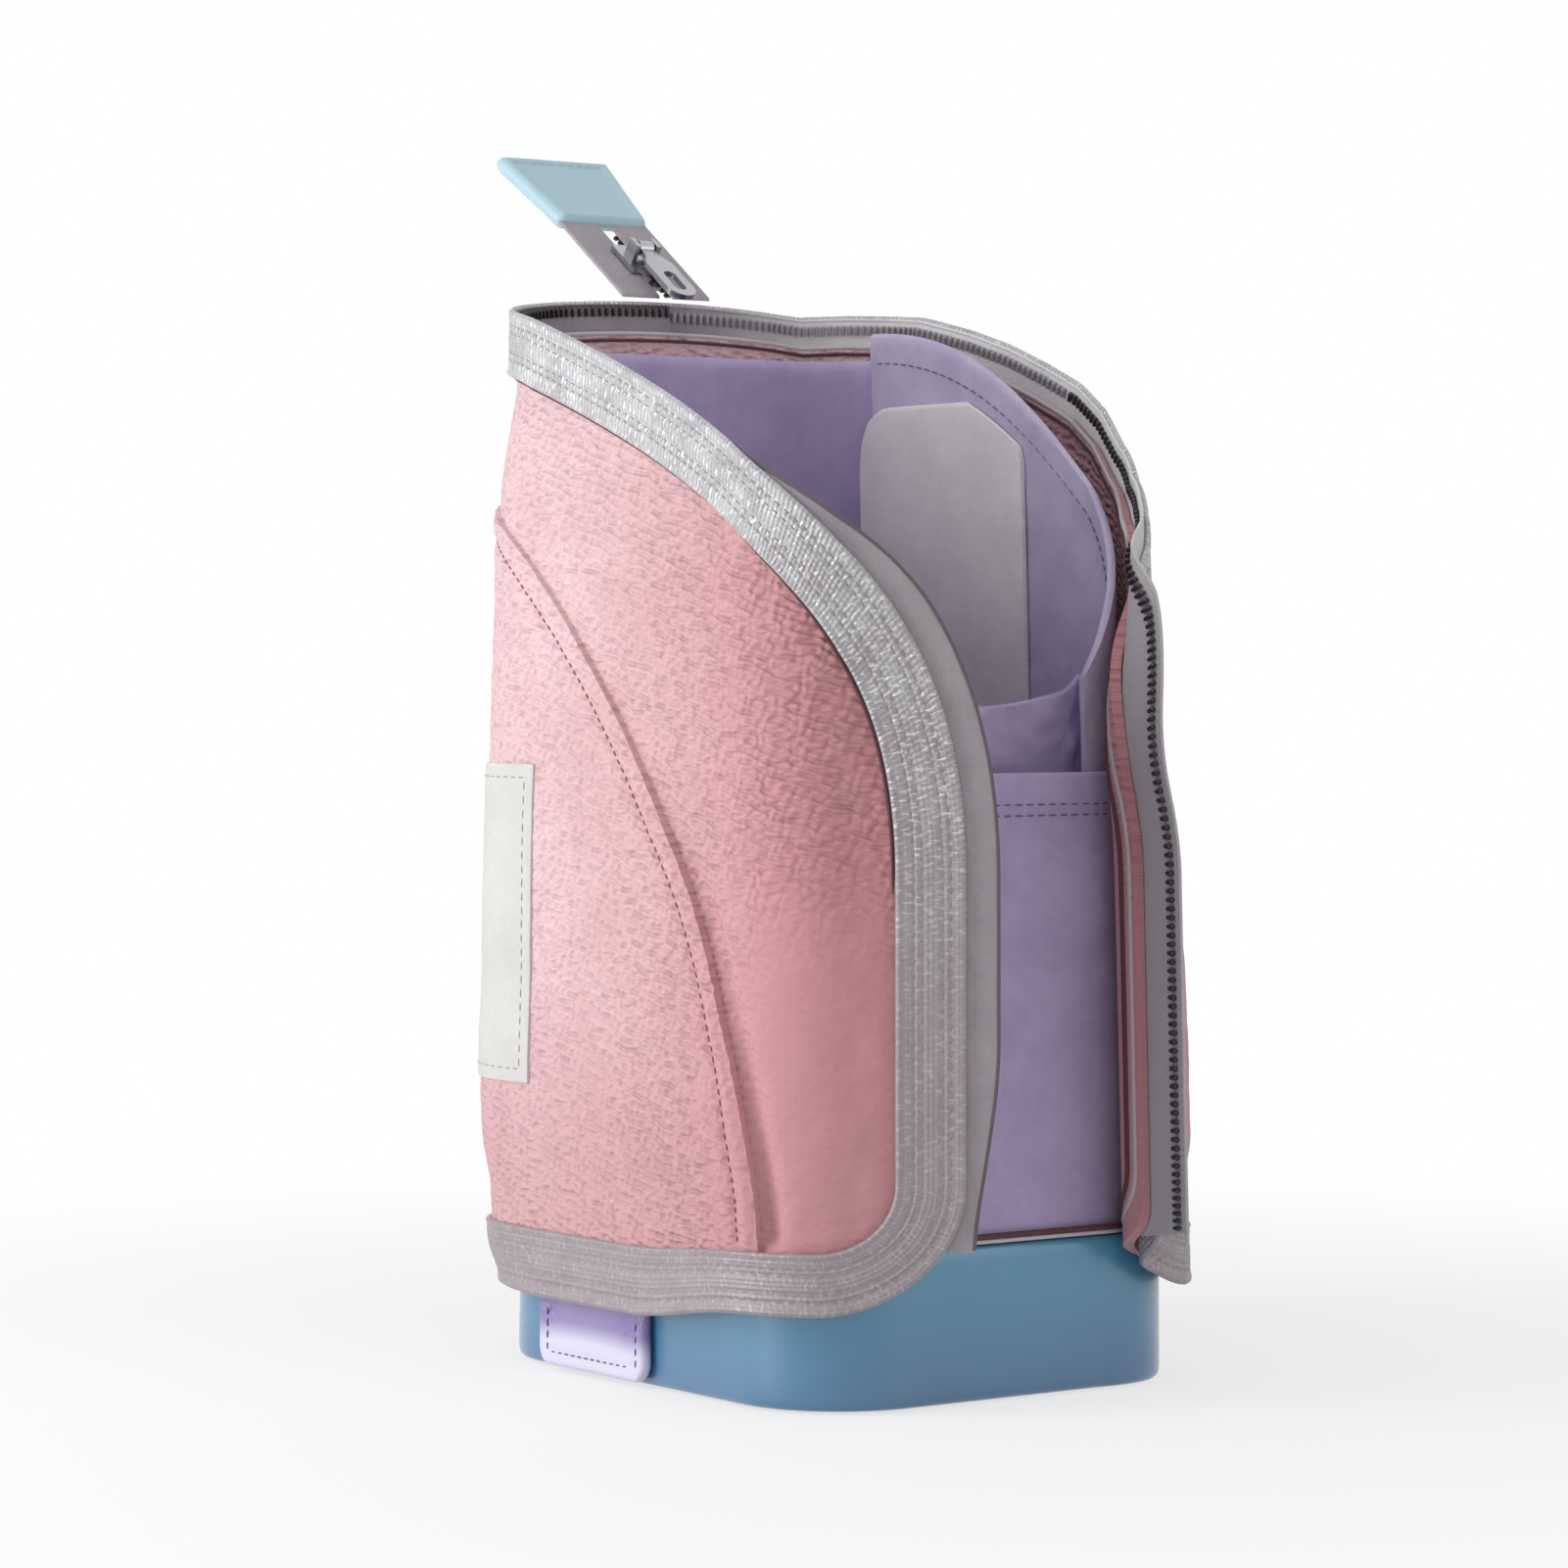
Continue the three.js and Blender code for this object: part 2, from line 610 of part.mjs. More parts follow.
// Slip pocket on the inside of the back wall, with a rounded top.
function buildSlipPocket() {
  const from = coreSideStart + SLIP_POCKET_LEFT + HALF_LENGTH - SPINE_RADIUS;
  const to = coreSideStart + SLIP_POCKET_RIGHT + HALF_LENGTH - SPINE_RADIUS;
  const round = SLIP_POCKET_ROUND;
  const places = [];
  for (let step = 0; step <= CORNER_STEPS; step += 1) {
    places.push(from + round * (1 - Math.cos(RIGHT_ANGLE * step / CORNER_STEPS)));
  }
  for (let step = CORNER_STEPS; step >= 0; step -= 1) {
    places.push(to - round * (1 - Math.cos(RIGHT_ANGLE * step / CORNER_STEPS)));
  }
  const high = (along) => {
    const over = Math.max(from + round - along, along - to + round, 0);
    return SLIP_POCKET_TOP - round + Math.sqrt(Math.max(round ** 2 - over ** 2, 0));
  };
  const outer = CORE_IN - LAYER_GAP;
  const place = (i, j, face) => {
    const z = j === 0 ? SLIP_POCKET_FOOT : high(places[i]);
    return onWall(corePlan, -places[i], z, face === 0 ? outer - SLIP_POCKET_WALL : outer);
  };
  addPiece('slip_pocket', gridSolid(places.length, 2, place, true), 'grey');
}

const seamCurve = new THREE.SplineCurve(SEAM_RISE_SHARES.map(([x, y]) => new THREE.Vector2(x, y)));
const seamRise = seamCurve.getPoints(CURVE_STEPS * 3).map((point) => [point.x, point.y]);

// Lap seam of the lower panel: its height above the foot at a distance along the flap.
function seamTop(along) {
  const distance = Math.abs(along);
  if (distance <= SPLIT) {
    const share = (distance / SPLIT) ** 2;
    return THREE.MathUtils.lerp(SEAM_TOP_SPINE, SEAM_TOP_FLAP, share);
  }
  const share = Math.min(1, (distance - SPLIT) / (SEAM_REACH - SPINE_WRAP));
  const rise = heightAt(seamRise, share);
  return THREE.MathUtils.lerp(SEAM_FOOT, SEAM_TOP_FLAP, rise);
}

const frontPlan = makePlan(PANEL_OUT, FRONT_TURN, false);
const backPlan = makePlan(PANEL_OUT, BACK_TURN, false);

// Fixed stretch of the shell round the spine.
function buildSpine() {
  const plan = frontPlan;
  const ends = { from: -SPLIT + PART_GAP / 2, to: SPLIT - PART_GAP / 2 };
  const walls = [
    ['spine_lining', shellFoot(PANEL_FOOT_INSET), shellTop(PANEL_INSET), LINING_IN, LINING_OUT, 'lining'],
    ['spine_panel', shellFoot(PANEL_FOOT_INSET), shellTop(PANEL_INSET), PANEL_IN, PANEL_OUT, 'pink'],
    ['spine_overlay', shellFoot(PANEL_FOOT_INSET), seamTop, OVERLAY_IN, OVERLAY_OUT, 'pinkPlain'],
    ['spine_binding_top', shellTop(BINDING_WIDTH), shellTop(0), BINDING_IN, BINDING_OUT, 'webbing'],
    ['spine_binding_foot', shellFoot(0), () => SHELL_BOTTOM + BINDING_WIDTH, BINDING_IN, BINDING_OUT, 'webbing'],
    ['spine_tape', shellTop(TAPE_ROOT), shellTop(-TAPE_TOP_PROUD), OVERLAY_IN, OVERLAY_OUT, 'tape'],
  ];
  for (const [name, low, high, inner, outer, finish] of walls) {
    addPiece(name, wallSolid({ plan, ...ends, low, high, inner, outer }), finish);
  }
  const coilEdge = [];
  const coilTop = shellTop(COIL_EDGE - TAPE_TOP_PROUD);
  const count = CURVE_STEPS * 2;
  for (let step = 0; step <= count; step += 1) {
    const along = THREE.MathUtils.lerp(ends.from, ends.to, step / count);
    coilEdge.push([along, coilTop(along)]);
  }
  addPiece('spine_coil', coilSolid({
    plan, side: 1, edge: coilEdge, inner: OVERLAY_IN - LAYER_GAP, crossing: true,
  }), 'coil');
  const labelEnd = FLAP_START + LABEL_REACH;
  addPiece('label_patch', wallSolid({
    plan, from: labelEnd - LABEL_WIDTH, to: labelEnd,
    low: () => LABEL_FOOT, high: () => LABEL_FOOT + LABEL_HEIGHT,
    inner: OVERLAY_OUT + LAYER_GAP, outer: OVERLAY_OUT + LAYER_GAP + LABEL_THICKNESS,
  }), 'label');
}

// Turns a wing outwards about the fold that it shares with its flap. The fold lies just
// outside the outermost layer and leans with the wall.
function flareWing(geometry, plan, side, flare) {
  const pivot = BINDING_OUT + PART_GAP;
  const foot = new THREE.Vector3(...onWall(plan, plan.ends[3] * side, 0, pivot));
  const head = new THREE.Vector3(...onWall(plan, plan.ends[3] * side, SPINE_TOP, pivot));
  const axis = head.sub(foot).normalize();
  geometry.translate(-foot.x, -foot.y, -foot.z);
  geometry.applyMatrix4(new THREE.Matrix4().makeRotationAxis(axis, -side * flare));
  geometry.translate(foot.x, foot.y, foot.z);
  return geometry;
}

// One flap: a long panel that swings on the spine, and a wing that folds on the panel.
function buildFlap(word, side, plan, closeAngle, flare) {
  const fold = plan.ends[3];
  const start = SPLIT + PART_GAP / 2;
  const end = fold - PART_GAP / 2;
  const reach = { plan, side, from: start, to: end };
  const foot = shellFoot(PANEL_FOOT_INSET);
  const top = shellTop(PANEL_INSET);
  const seamEnd = FLAP_START + SEAM_REACH;
  addPiece(`${word}_lining`, wallSolid({
    ...reach, low: foot, high: top, inner: LINING_IN, outer: LINING_OUT,
  }), 'lining');
  addPiece(`${word}_panel`, wallSolid({
    ...reach, low: foot, high: top, inner: PANEL_IN, outer: PANEL_OUT,
  }), 'pink');
  addPiece(`${word}_overlay`, wallSolid({
    ...reach, to: seamEnd, low: foot, high: seamTop, inner: OVERLAY_IN, outer: OVERLAY_OUT,
  }), 'pinkPlain');
  const binding = { inner: BINDING_IN, outer: BINDING_OUT };
  addPiece(`${word}_binding_top`, wallSolid({
    ...reach, ...binding, low: shellTop(BINDING_WIDTH), high: shellTop(0),
  }), 'webbing');
  addPiece(`${word}_binding_foot`, wallSolid({
    ...reach, ...binding, low: shellFoot(0), high: shellFoot(BINDING_WIDTH),
  }), 'webbing');
  const tapeLayer = { inner: OVERLAY_IN, outer: OVERLAY_OUT };
  const tapeFree = tapeEdge(0, start, end);
  const tapeRoot = topEdge(() => TAPE_ROOT);
  addPiece(`${word}_tape`, wallSolid({
    ...reach, ...tapeLayer,
    low: (along) => (along < tapeRoot[0][0] ? shellTop(TAPE_ROOT)(along) : heightAt(tapeRoot, along)),
    high: (along) => heightAt(tapeFree, along),
  }), 'tape');
  addPiece(`${word}_coil`, coilSolid({
    plan, side, edge: tapeEdge(COIL_EDGE, start, end), inner: OVERLAY_IN - LAYER_GAP,
  }), 'coil');

  // The wing starts behind its fold by what each layer needs to turn inwards.
  const room = (inner) => fold + PART_GAP / 2 + (BINDING_OUT - inner) * Math.tan(closeAngle);
  const addWing = (layer, geometry, finish) => {
    addPiece(`${word}_wing_${layer}`, flareWing(geometry, plan, side, flare), finish);
  };
  const wingLast = FLAP_END - PANEL_INSET;
  addWing('lining', wallSolid({
    plan, side, from: room(LINING_IN), to: wingLast, low: foot, high: top, inner: LINING_IN, outer: LINING_OUT,
  }), 'lining');
  addWing('panel', wallSolid({
    plan, side, from: room(PANEL_IN), to: wingLast, low: foot, high: top, inner: PANEL_IN, outer: PANEL_OUT,
  }), 'pink');
  const bindingStart = room(BINDING_IN);
  addWing('binding', ribbonSolid({
    plan, side, ...binding, count: CURVE_STEPS * 2 + 4, across: 1,
    curveA: wingRim(BINDING_WIDTH, bindingStart), curveB: wingRim(0, bindingStart),
  }), 'webbing');
  const tapeStart = room(OVERLAY_IN);
  const rootEdge = [
    [tapeStart, heightAt(topEdge(() => TAPE_ROOT), tapeStart)],
    ...topEdge(() => TAPE_ROOT).filter((point) => point[0] > tapeStart),
    [FLAP_END - TAPE_ROOT, TAPE_FOOT],
  ];
  addWing('tape', ribbonSolid({
    plan, side, ...tapeLayer, count: CURVE_STEPS + 4, across: 1,
    curveA: rootEdge, curveB: tapeEdge(0, tapeStart, null),
  }), 'tape');
  const coilInner = OVERLAY_IN - LAYER_GAP;
  const coilStart = room(coilInner - COIL_THICKNESS);
  addWing('coil', coilSolid({
    plan, side, edge: tapeEdge(COIL_EDGE, coilStart, null), inner: coilInner,
  }), 'coil');
}

// Pull tab: a root under the shell, and the tab that hangs below its fold.
function tabPlate(low, high, thickness, roundFoot) {
  const half = TAB_WIDTH / 2;
  const shape = new THREE.Shape();
  shape.moveTo(-half, high);
  if (roundFoot) {
    shape.lineTo(-half, low + TAB_ROUND);
    shape.quadraticCurveTo(-half, low, -half + TAB_ROUND, low);
    shape.lineTo(half - TAB_ROUND, low);
    shape.quadraticCurveTo(half, low, half, low + TAB_ROUND);
  } else {
    shape.lineTo(-half, low);
    shape.lineTo(half, low);
  }
  shape.lineTo(half, high);
  const geometry = new THREE.ExtrudeGeometry(shape, {
    depth: thickness, bevelEnabled: false, curveSegments: CORNER_STEPS,
  });
  geometry.rotateX(RIGHT_ANGLE);
  geometry.translate(TAB_CENTRE_X, -HALF_WIDTH - TAB_STAND_OFF, 0);
  return geometry;
}

function buildPullTab() {
  addPiece('pull_tab_root', tabPlate(TAB_FOLD + PART_GAP / 2, TAB_TOP, TAB_ROOT_THICKNESS, false), 'tab');
  addPiece('pull_tab', tabPlate(TAB_FOOT, TAB_FOLD - PART_GAP / 2, TAB_THICKNESS, true), 'tab');
}

// Solids for joining and cutting.
function toSolid(geometry) {
  const plain = geometry.clone();
  for (const name of Object.keys(plain.attributes)) {
    if (name !== 'position') plain.deleteAttribute(name);
  }
  const merged = BufferGeometryUtils.mergeVertices(plain, 1e-4);
  const mesh = new wasm.Mesh({
    numProp: 3,
    vertProperties: new Float32Array(merged.attributes.position.array),
    triVerts: new Uint32Array(merged.index.array),
  });
  return new wasm.Manifold(mesh);
}

function fromSolid(solid) {
  const mesh = solid.getMesh();
  const geometry = new THREE.BufferGeometry();
  geometry.setAttribute('position', new THREE.BufferAttribute(mesh.vertProperties, 3));
  geometry.setIndex(new THREE.BufferAttribute(mesh.triVerts, 1));
  geometry.computeVertexNormals();
  return geometry;
}

function block(width, depth, height, x, y, z) {
  const geometry = new THREE.BoxGeometry(width, depth, height);
  geometry.translate(x, y, z);
  return toSolid(geometry);
}

function rod(radius, length, x, z) {
  const geometry = new THREE.CylinderGeometry(radius, radius, length, 16);
  geometry.translate(x, 0, z);
  return toSolid(geometry);
}

// Zip end: in its own frame -X runs along the tapes away from the pouch, and +Z is their upper face.
const zipEnd = new THREE.Group();
zipEnd.position.set(-HALF_LENGTH - OVERLAY_OUT + SHELL_LEAN, 0, SPINE_TOP + TAIL_FOOT_GAP);
zipEnd.rotation.y = TAIL_LEAN;
pouch.add(zipEnd);

function buildZipEnd() {
  const middle = (TAIL_SLIT / 2 + TAIL_HALF_WIDTH) / 2;
  const width = TAIL_HALF_WIDTH - TAIL_SLIT / 2;
  const tapeLength = TAIL_LENGTH + END_TAB_HOLD;
  for (const [word, side] of [['front', -1], ['back', 1]]) {
    const tape = new THREE.BoxGeometry(tapeLength, width, TAIL_THICKNESS);
    tape.translate(-tapeLength / 2, side * middle, 0);
    addPiece(`zip_end_tape_${word}`, tape, 'tape', zipEnd);
    addPiece(`zip_end_coil_${word}`, tailCoil(side), 'coil', zipEnd);
  }
  addPiece('end_tab', endTab(), 'blueLight', zipEnd);
  addPiece('zip_slider', slider(), 'metal', zipEnd);
  addPiece('zip_puller', puller(), 'metal', zipEnd);
}

// Straight toothed coil under the slit edge of a zip end tape.
function tailCoil(side) {
  const length = TAIL_LENGTH - TAIL_COIL_START;
  const teeth = Math.round(length / COIL_PITCH);
  const stops = [];
  for (let tooth = 0; tooth < teeth; tooth += 1) {
    [0, 0.3, 0.7].forEach((phase, index) => stops.push([(tooth + phase) / teeth, index > 0]));
  }
  stops.push([1, false]);
  const top = -TAIL_THICKNESS / 2 - LAYER_GAP;
  const back = TAIL_SLIT / 2 + COIL_WIDTH;
  const place = (i, j, face) => {
    const [share, head] = stops[i];
    const y = j === 0 ? back : back - (head ? COIL_WIDTH : COIL_NECK);
    const z = face === 1 ? top : top - (head ? COIL_THICKNESS : COIL_NECK_THICKNESS);
    return [-TAIL_COIL_START - length * share, side * y, z];
  };
  return gridSolid(stops.length, 2, place, side < 0);
}

// Folded end tab: a tapered plate with a slot that holds the tapes.
function endTab() {
  const [near, far] = [END_TAB_INNER_WIDTH / 2, END_TAB_OUTER_WIDTH / 2];
  const round = END_TAB_ROUND;
  const shape = new THREE.Shape();
  shape.moveTo(0, -near + round);
  shape.quadraticCurveTo(0, -near, -round, -near - round * (far - near) / END_TAB_LENGTH);
  shape.lineTo(-END_TAB_LENGTH + round, -far);
  shape.quadraticCurveTo(-END_TAB_LENGTH, -far, -END_TAB_LENGTH, -far + round);
  shape.lineTo(-END_TAB_LENGTH, far - round);
  shape.quadraticCurveTo(-END_TAB_LENGTH, far, -END_TAB_LENGTH + round, far);
  shape.lineTo(-round, near + round * (far - near) / END_TAB_LENGTH);
  shape.quadraticCurveTo(0, near, 0, near - round);
  const geometry = new THREE.ExtrudeGeometry(shape, {
    depth: END_TAB_THICKNESS, bevelEnabled: false, curveSegments: 3,
  });
  geometry.translate(-TAIL_LENGTH, 0, -END_TAB_THICKNESS / 2);
  const slotWidth = TAIL_HALF_WIDTH * 2 + LAYER_GAP * 2;
  const slotHeight = TAIL_THICKNESS + LAYER_GAP * 2;
  const slotLength = END_TAB_HOLD + PART_GAP + OVERRUN;
  const slotX = -TAIL_LENGTH + OVERRUN - slotLength / 2;
  return fromSolid(toSolid(geometry).subtract(block(slotLength, slotWidth, slotHeight, slotX, 0, 0)));
}

// Slider: two plates joined by the bridge that runs in the slit, and two ears with a pin.
function slider() {
  const x = -SLIDER_START;
  const upper = TAIL_THICKNESS / 2 + SLIDER_CLEARANCE;
  const lower = TAIL_THICKNESS / 2 + LAYER_GAP + COIL_THICKNESS + SLIDER_CLEARANCE;
  const plateTop = upper + SLIDER_PLATE;
  let body = block(SLIDER_LENGTH, SLIDER_WIDTH, SLIDER_PLATE, x, 0, upper + SLIDER_PLATE / 2);
  body = body.add(block(SLIDER_LENGTH, SLIDER_WIDTH, SLIDER_PLATE, x, 0, -lower - SLIDER_PLATE / 2));
  const bridgeHeight = upper + lower + SLIDER_PLATE;
  const bridgeX = x + SLIDER_LENGTH / 4;
  body = body.add(block(SLIDER_LENGTH / 3, SLIDER_BRIDGE, bridgeHeight, bridgeX, 0, (upper - lower) / 2));
  const earY = EAR_SPACE / 2 + EAR_THICKNESS / 2;
  for (const side of [-1, 1]) {
    const earZ = plateTop + EAR_HEIGHT / 2 - SLIDER_PLATE / 2;
    body = body.add(block(EAR_LENGTH, EAR_THICKNESS, EAR_HEIGHT + SLIDER_PLATE, x, side * earY, earZ));
  }
  body = body.add(rod(PIN_RADIUS, EAR_SPACE + EAR_THICKNESS, x, plateTop + PIN_HEIGHT));
  return fromSolid(body);
}

// Puller: an eye round the pin and a flat grip with a slot, lying towards the pouch.
function puller() {
  const x = -SLIDER_START;
  const z = TAIL_THICKNESS / 2 + SLIDER_CLEARANCE + SLIDER_PLATE + PIN_HEIGHT;
  const eyeWidth = EAR_SPACE - PART_GAP * 2;
  const neck = EAR_LENGTH;
  let body = rod(EYE_RADIUS, eyeWidth, x, z);
  body = body.add(block(neck + EYE_RADIUS, eyeWidth, PULLER_THICKNESS, x + (neck + EYE_RADIUS) / 2, 0, z));
  const [from, half] = [x + neck, PULLER_WIDTH / 2];
  const to = x + PULLER_LENGTH;
  const shape = new THREE.Shape();
  shape.moveTo(from, -eyeWidth / 2);
  shape.lineTo(from + half, -half);
  shape.lineTo(to - half, -half);
  shape.absarc(to - half, 0, half, -RIGHT_ANGLE, RIGHT_ANGLE, false);
  shape.lineTo(from + half, half);
  shape.lineTo(from, eyeWidth / 2);
  const slotEnd = to - PULLER_SLOT_END - PULLER_SLOT_WIDTH / 2;
  const slotStart = slotEnd - PULLER_SLOT_LENGTH + PULLER_SLOT_WIDTH;
  const hole = new THREE.Path();
  hole.absarc(slotEnd, 0, PULLER_SLOT_WIDTH / 2, -RIGHT_ANGLE, RIGHT_ANGLE, false);
  hole.absarc(slotStart, 0, PULLER_SLOT_WIDTH / 2, RIGHT_ANGLE, RIGHT_ANGLE * 3, false);
  shape.holes.push(hole);
  const grip = new THREE.ExtrudeGeometry(shape, {
    depth: PULLER_THICKNESS, bevelEnabled: false, curveSegments: CORNER_STEPS * 2,
  });
  grip.translate(0, 0, z - PULLER_THICKNESS / 2);
  body = body.add(toSolid(grip));
  return fromSolid(body.subtract(rod(EYE_BORE, eyeWidth + OVERRUN, x, z)));
}

const coreFoot = buildBase();
buildCore(coreFoot);
buildSlipPocket();
buildSpine();
buildFlap('front', 1, frontPlan, WING_CLOSE_FRONT, 0);
buildFlap('back', -1, backPlan, 0, BACK_FLARE);
buildPullTab();
buildZipEnd();

export default pouch;
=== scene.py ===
# %% [markdown]
# # A stand-up pencil pouch
#
# This lesson dresses a measured model of a pencil pouch that stands open on its base. The
# model already has the right sizes and joints. Here each plain wall becomes cloth, webbing,
# zip or coated fabric. Everything is in metres in the end, but sewing sizes are easier to
# read in millimetres, so the plan below works in millimetres and converts once.

# %% Load the measured model
import json
import math

import bpy
import numpy as np
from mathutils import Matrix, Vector

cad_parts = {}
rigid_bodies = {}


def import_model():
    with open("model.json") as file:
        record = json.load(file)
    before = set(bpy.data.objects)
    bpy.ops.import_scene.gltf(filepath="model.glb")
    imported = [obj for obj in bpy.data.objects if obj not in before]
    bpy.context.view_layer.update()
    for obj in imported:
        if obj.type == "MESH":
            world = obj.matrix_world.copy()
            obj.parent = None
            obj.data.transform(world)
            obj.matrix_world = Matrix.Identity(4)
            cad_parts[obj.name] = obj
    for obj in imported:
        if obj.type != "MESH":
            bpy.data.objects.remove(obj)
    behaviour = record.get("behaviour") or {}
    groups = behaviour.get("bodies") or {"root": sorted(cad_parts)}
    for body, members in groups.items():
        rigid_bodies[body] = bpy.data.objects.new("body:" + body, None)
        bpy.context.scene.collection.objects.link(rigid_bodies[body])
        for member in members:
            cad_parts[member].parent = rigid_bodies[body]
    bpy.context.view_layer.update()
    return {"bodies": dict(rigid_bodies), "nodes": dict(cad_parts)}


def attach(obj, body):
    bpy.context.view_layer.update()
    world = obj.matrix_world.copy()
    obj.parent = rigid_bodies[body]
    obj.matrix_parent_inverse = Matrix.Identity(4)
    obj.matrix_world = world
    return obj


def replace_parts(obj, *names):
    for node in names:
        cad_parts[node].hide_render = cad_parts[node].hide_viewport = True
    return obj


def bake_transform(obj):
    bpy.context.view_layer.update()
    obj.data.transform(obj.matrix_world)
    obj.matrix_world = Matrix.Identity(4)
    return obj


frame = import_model()
MM = 0.001
print("bodies:", ", ".join(sorted(frame["bodies"])))

# %% [markdown]
# ## The camera
#
# The photograph was taken with a long lens, level, from the front corner that faces the
# pull tab and the open end. The lens axis is level, so upright edges stay upright, and a
# small shift of the picture puts the pouch where the photograph has it.

# %% Camera
SIDE_TURN = math.radians(54.1)
CAMERA_DISTANCE = 0.9166
CAMERA_HEIGHT = 0.1314
FOCAL_PIXELS = 4925.0
PICTURE_PIXELS = 1601.0
CENTRE_X, HORIZON_Y = 847.6, 686.1
SENSOR = 36.0

camera_data = bpy.data.cameras.new("camera")
camera_data.sensor_width = SENSOR
camera_data.sensor_fit = "HORIZONTAL"
camera_data.lens = FOCAL_PIXELS / PICTURE_PIXELS * SENSOR
camera_data.shift_x = -(CENTRE_X - PICTURE_PIXELS / 2) / PICTURE_PIXELS
camera_data.shift_y = (HORIZON_Y - PICTURE_PIXELS / 2) / PICTURE_PIXELS
camera = bpy.data.objects.new("camera", camera_data)
bpy.context.scene.collection.objects.link(camera)
view_out = Vector((math.sin(SIDE_TURN), -math.cos(SIDE_TURN), 0))
camera.location = view_out * CAMERA_DISTANCE + Vector((0, 0, CAMERA_HEIGHT))
camera.rotation_euler = (math.pi / 2, 0, SIDE_TURN)
bpy.context.scene.camera = camera
print("camera at", tuple(round(v, 4) for v in camera.location))

# %% [markdown]
# ## The plan of the walls
#
# Every wall of the pouch follows one plan: a rounded rectangle, walked from the middle of
# the spine. A place on a wall is then three numbers: the distance walked, the height, and
# how far the layer stands off the base. The walls lean inwards evenly towards the top.

# %% Sizes of the plan
HALF_LENGTH, HALF_WIDTH = 55.0, 44.0
SPINE_RADIUS, END_RADIUS = 20.0, 22.0
SPINE_TOP, SPINE_CROWN, SHELL_BOTTOM = 205.0, 6.0, 14.0
LEAN = 5.5
SPINE_LINE = HALF_WIDTH - SPINE_RADIUS
SIDE_LINE = HALF_LENGTH * 2 - SPINE_RADIUS - END_RADIUS
END_LINE = HALF_WIDTH - END_RADIUS
LINING_IN, PANEL_OUT, BINDING_OUT = 2.8, 5.0, 7.0
TURNS = {1: math.radians(54), -1: math.radians(80)}
FLARE, FLARE_AXIS = math.radians(75), BINDING_OUT + 0.3
TOP_TURN, SOFTER_FROM, SOFTER_TO = math.radians(64), 110, 162
FOLD_HALF, FOLD_GROWTH, FOLD_SHIFT = 4.5, 3.5, 2.0
FLAP_START = SPINE_LINE + (SPINE_RADIUS + PANEL_OUT) * math.pi / 2
FLAP_REACH = SIDE_LINE + (END_RADIUS + PANEL_OUT) * TURNS[1] + 22.6
FLAP_END = FLAP_START + FLAP_REACH
FOOT_RISE, RISE_FROM, RISE_TO = 3.6, FLAP_START + 41, FLAP_START + 76
CORNER = 27.0
STRAIGHT_TOP = 95.0
WORDS = {1: "front", -1: "back"}
print("one flap is", round(FLAP_REACH), "mm long")


# %% Small formulas
def ramp(x, low, high):
    """0 at low, 1 at high, smooth between; low may be the larger."""
    t = np.clip((np.asarray(x, float) - low) / (high - low), 0, 1)
    return t * t * (3 - 2 * t)


def hump(x, middle, width):
    """A bell: 1 at the middle, and 1/e a width away from it."""
    return np.exp(-((x - middle) / width) ** 2)


def soft_edge(edge, radius, least=0.05):
    """A quarter round: from about 0 at the edge to 1 a radius inwards."""
    return np.sqrt(np.clip(1 - (1 - np.clip(edge / radius, 0, 1)) ** 2, least, 1))


def bezier(t, *points):
    """Cubic curve from the first to the last of four points, pulled by the middle two."""
    a, b, c, d = (np.array(p, float) for p in points)
    return (1 - t) ** 3 * a + 3 * (1 - t) ** 2 * t * b + 3 * (1 - t) * t**2 * c + t**3 * d


def same_shape(*values):
    """The values as arrays of one shape."""
    return np.broadcast_arrays(*(np.asarray(v, float) for v in values))


def to_cloth(s, z):
    """Cloth coordinates in metres."""
    return np.stack([s, z], -1) * MM


def smooth(points, count=200):
    """A smooth line through a few points, by a Catmull-Rom curve."""
    p = np.array(points, float)
    p = np.vstack([2 * p[0] - p[1], p, 2 * p[-1] - p[-2]])
    t = np.linspace(0, len(points) - 1, count)
    i = np.minimum(t.astype(int), len(points) - 2)
    f = (t - i)[:, None]
    a, b, c, d = (p[i + k] for k in range(4))
    return 0.5 * (2 * b + (c - a) * f + (2 * a - 5 * b + 4 * c - d) * f**2 + (3 * b - a - 3 * c + d) * f**3)


def length_along(line):
    """Distance along a line at each of its points."""
    return np.concatenate([[0], np.cumsum(np.linalg.norm(np.diff(line, axis=0), axis=1))])


def read_line(line, run, want):
    """The line's columns at wanted distances; run is the distance at each of its points."""
    return np.stack([np.interp(want, run, column) for column in line.T], -1)


def even(points, step):
    """The same line with points about one step apart, ends kept."""
    line = np.asarray(points, float)
    run = length_along(line)
    return read_line(line, run, np.linspace(0, run[-1], max(2, int(round(run[-1] / step)) + 1)))


def direction(line):
    """Unit steps along a line."""
    step = np.gradient(line, axis=0)
    return step / np.linalg.norm(step, axis=1, keepdims=True)


print("halfway up a ramp:", float(ramp(0.5, 0, 1)))

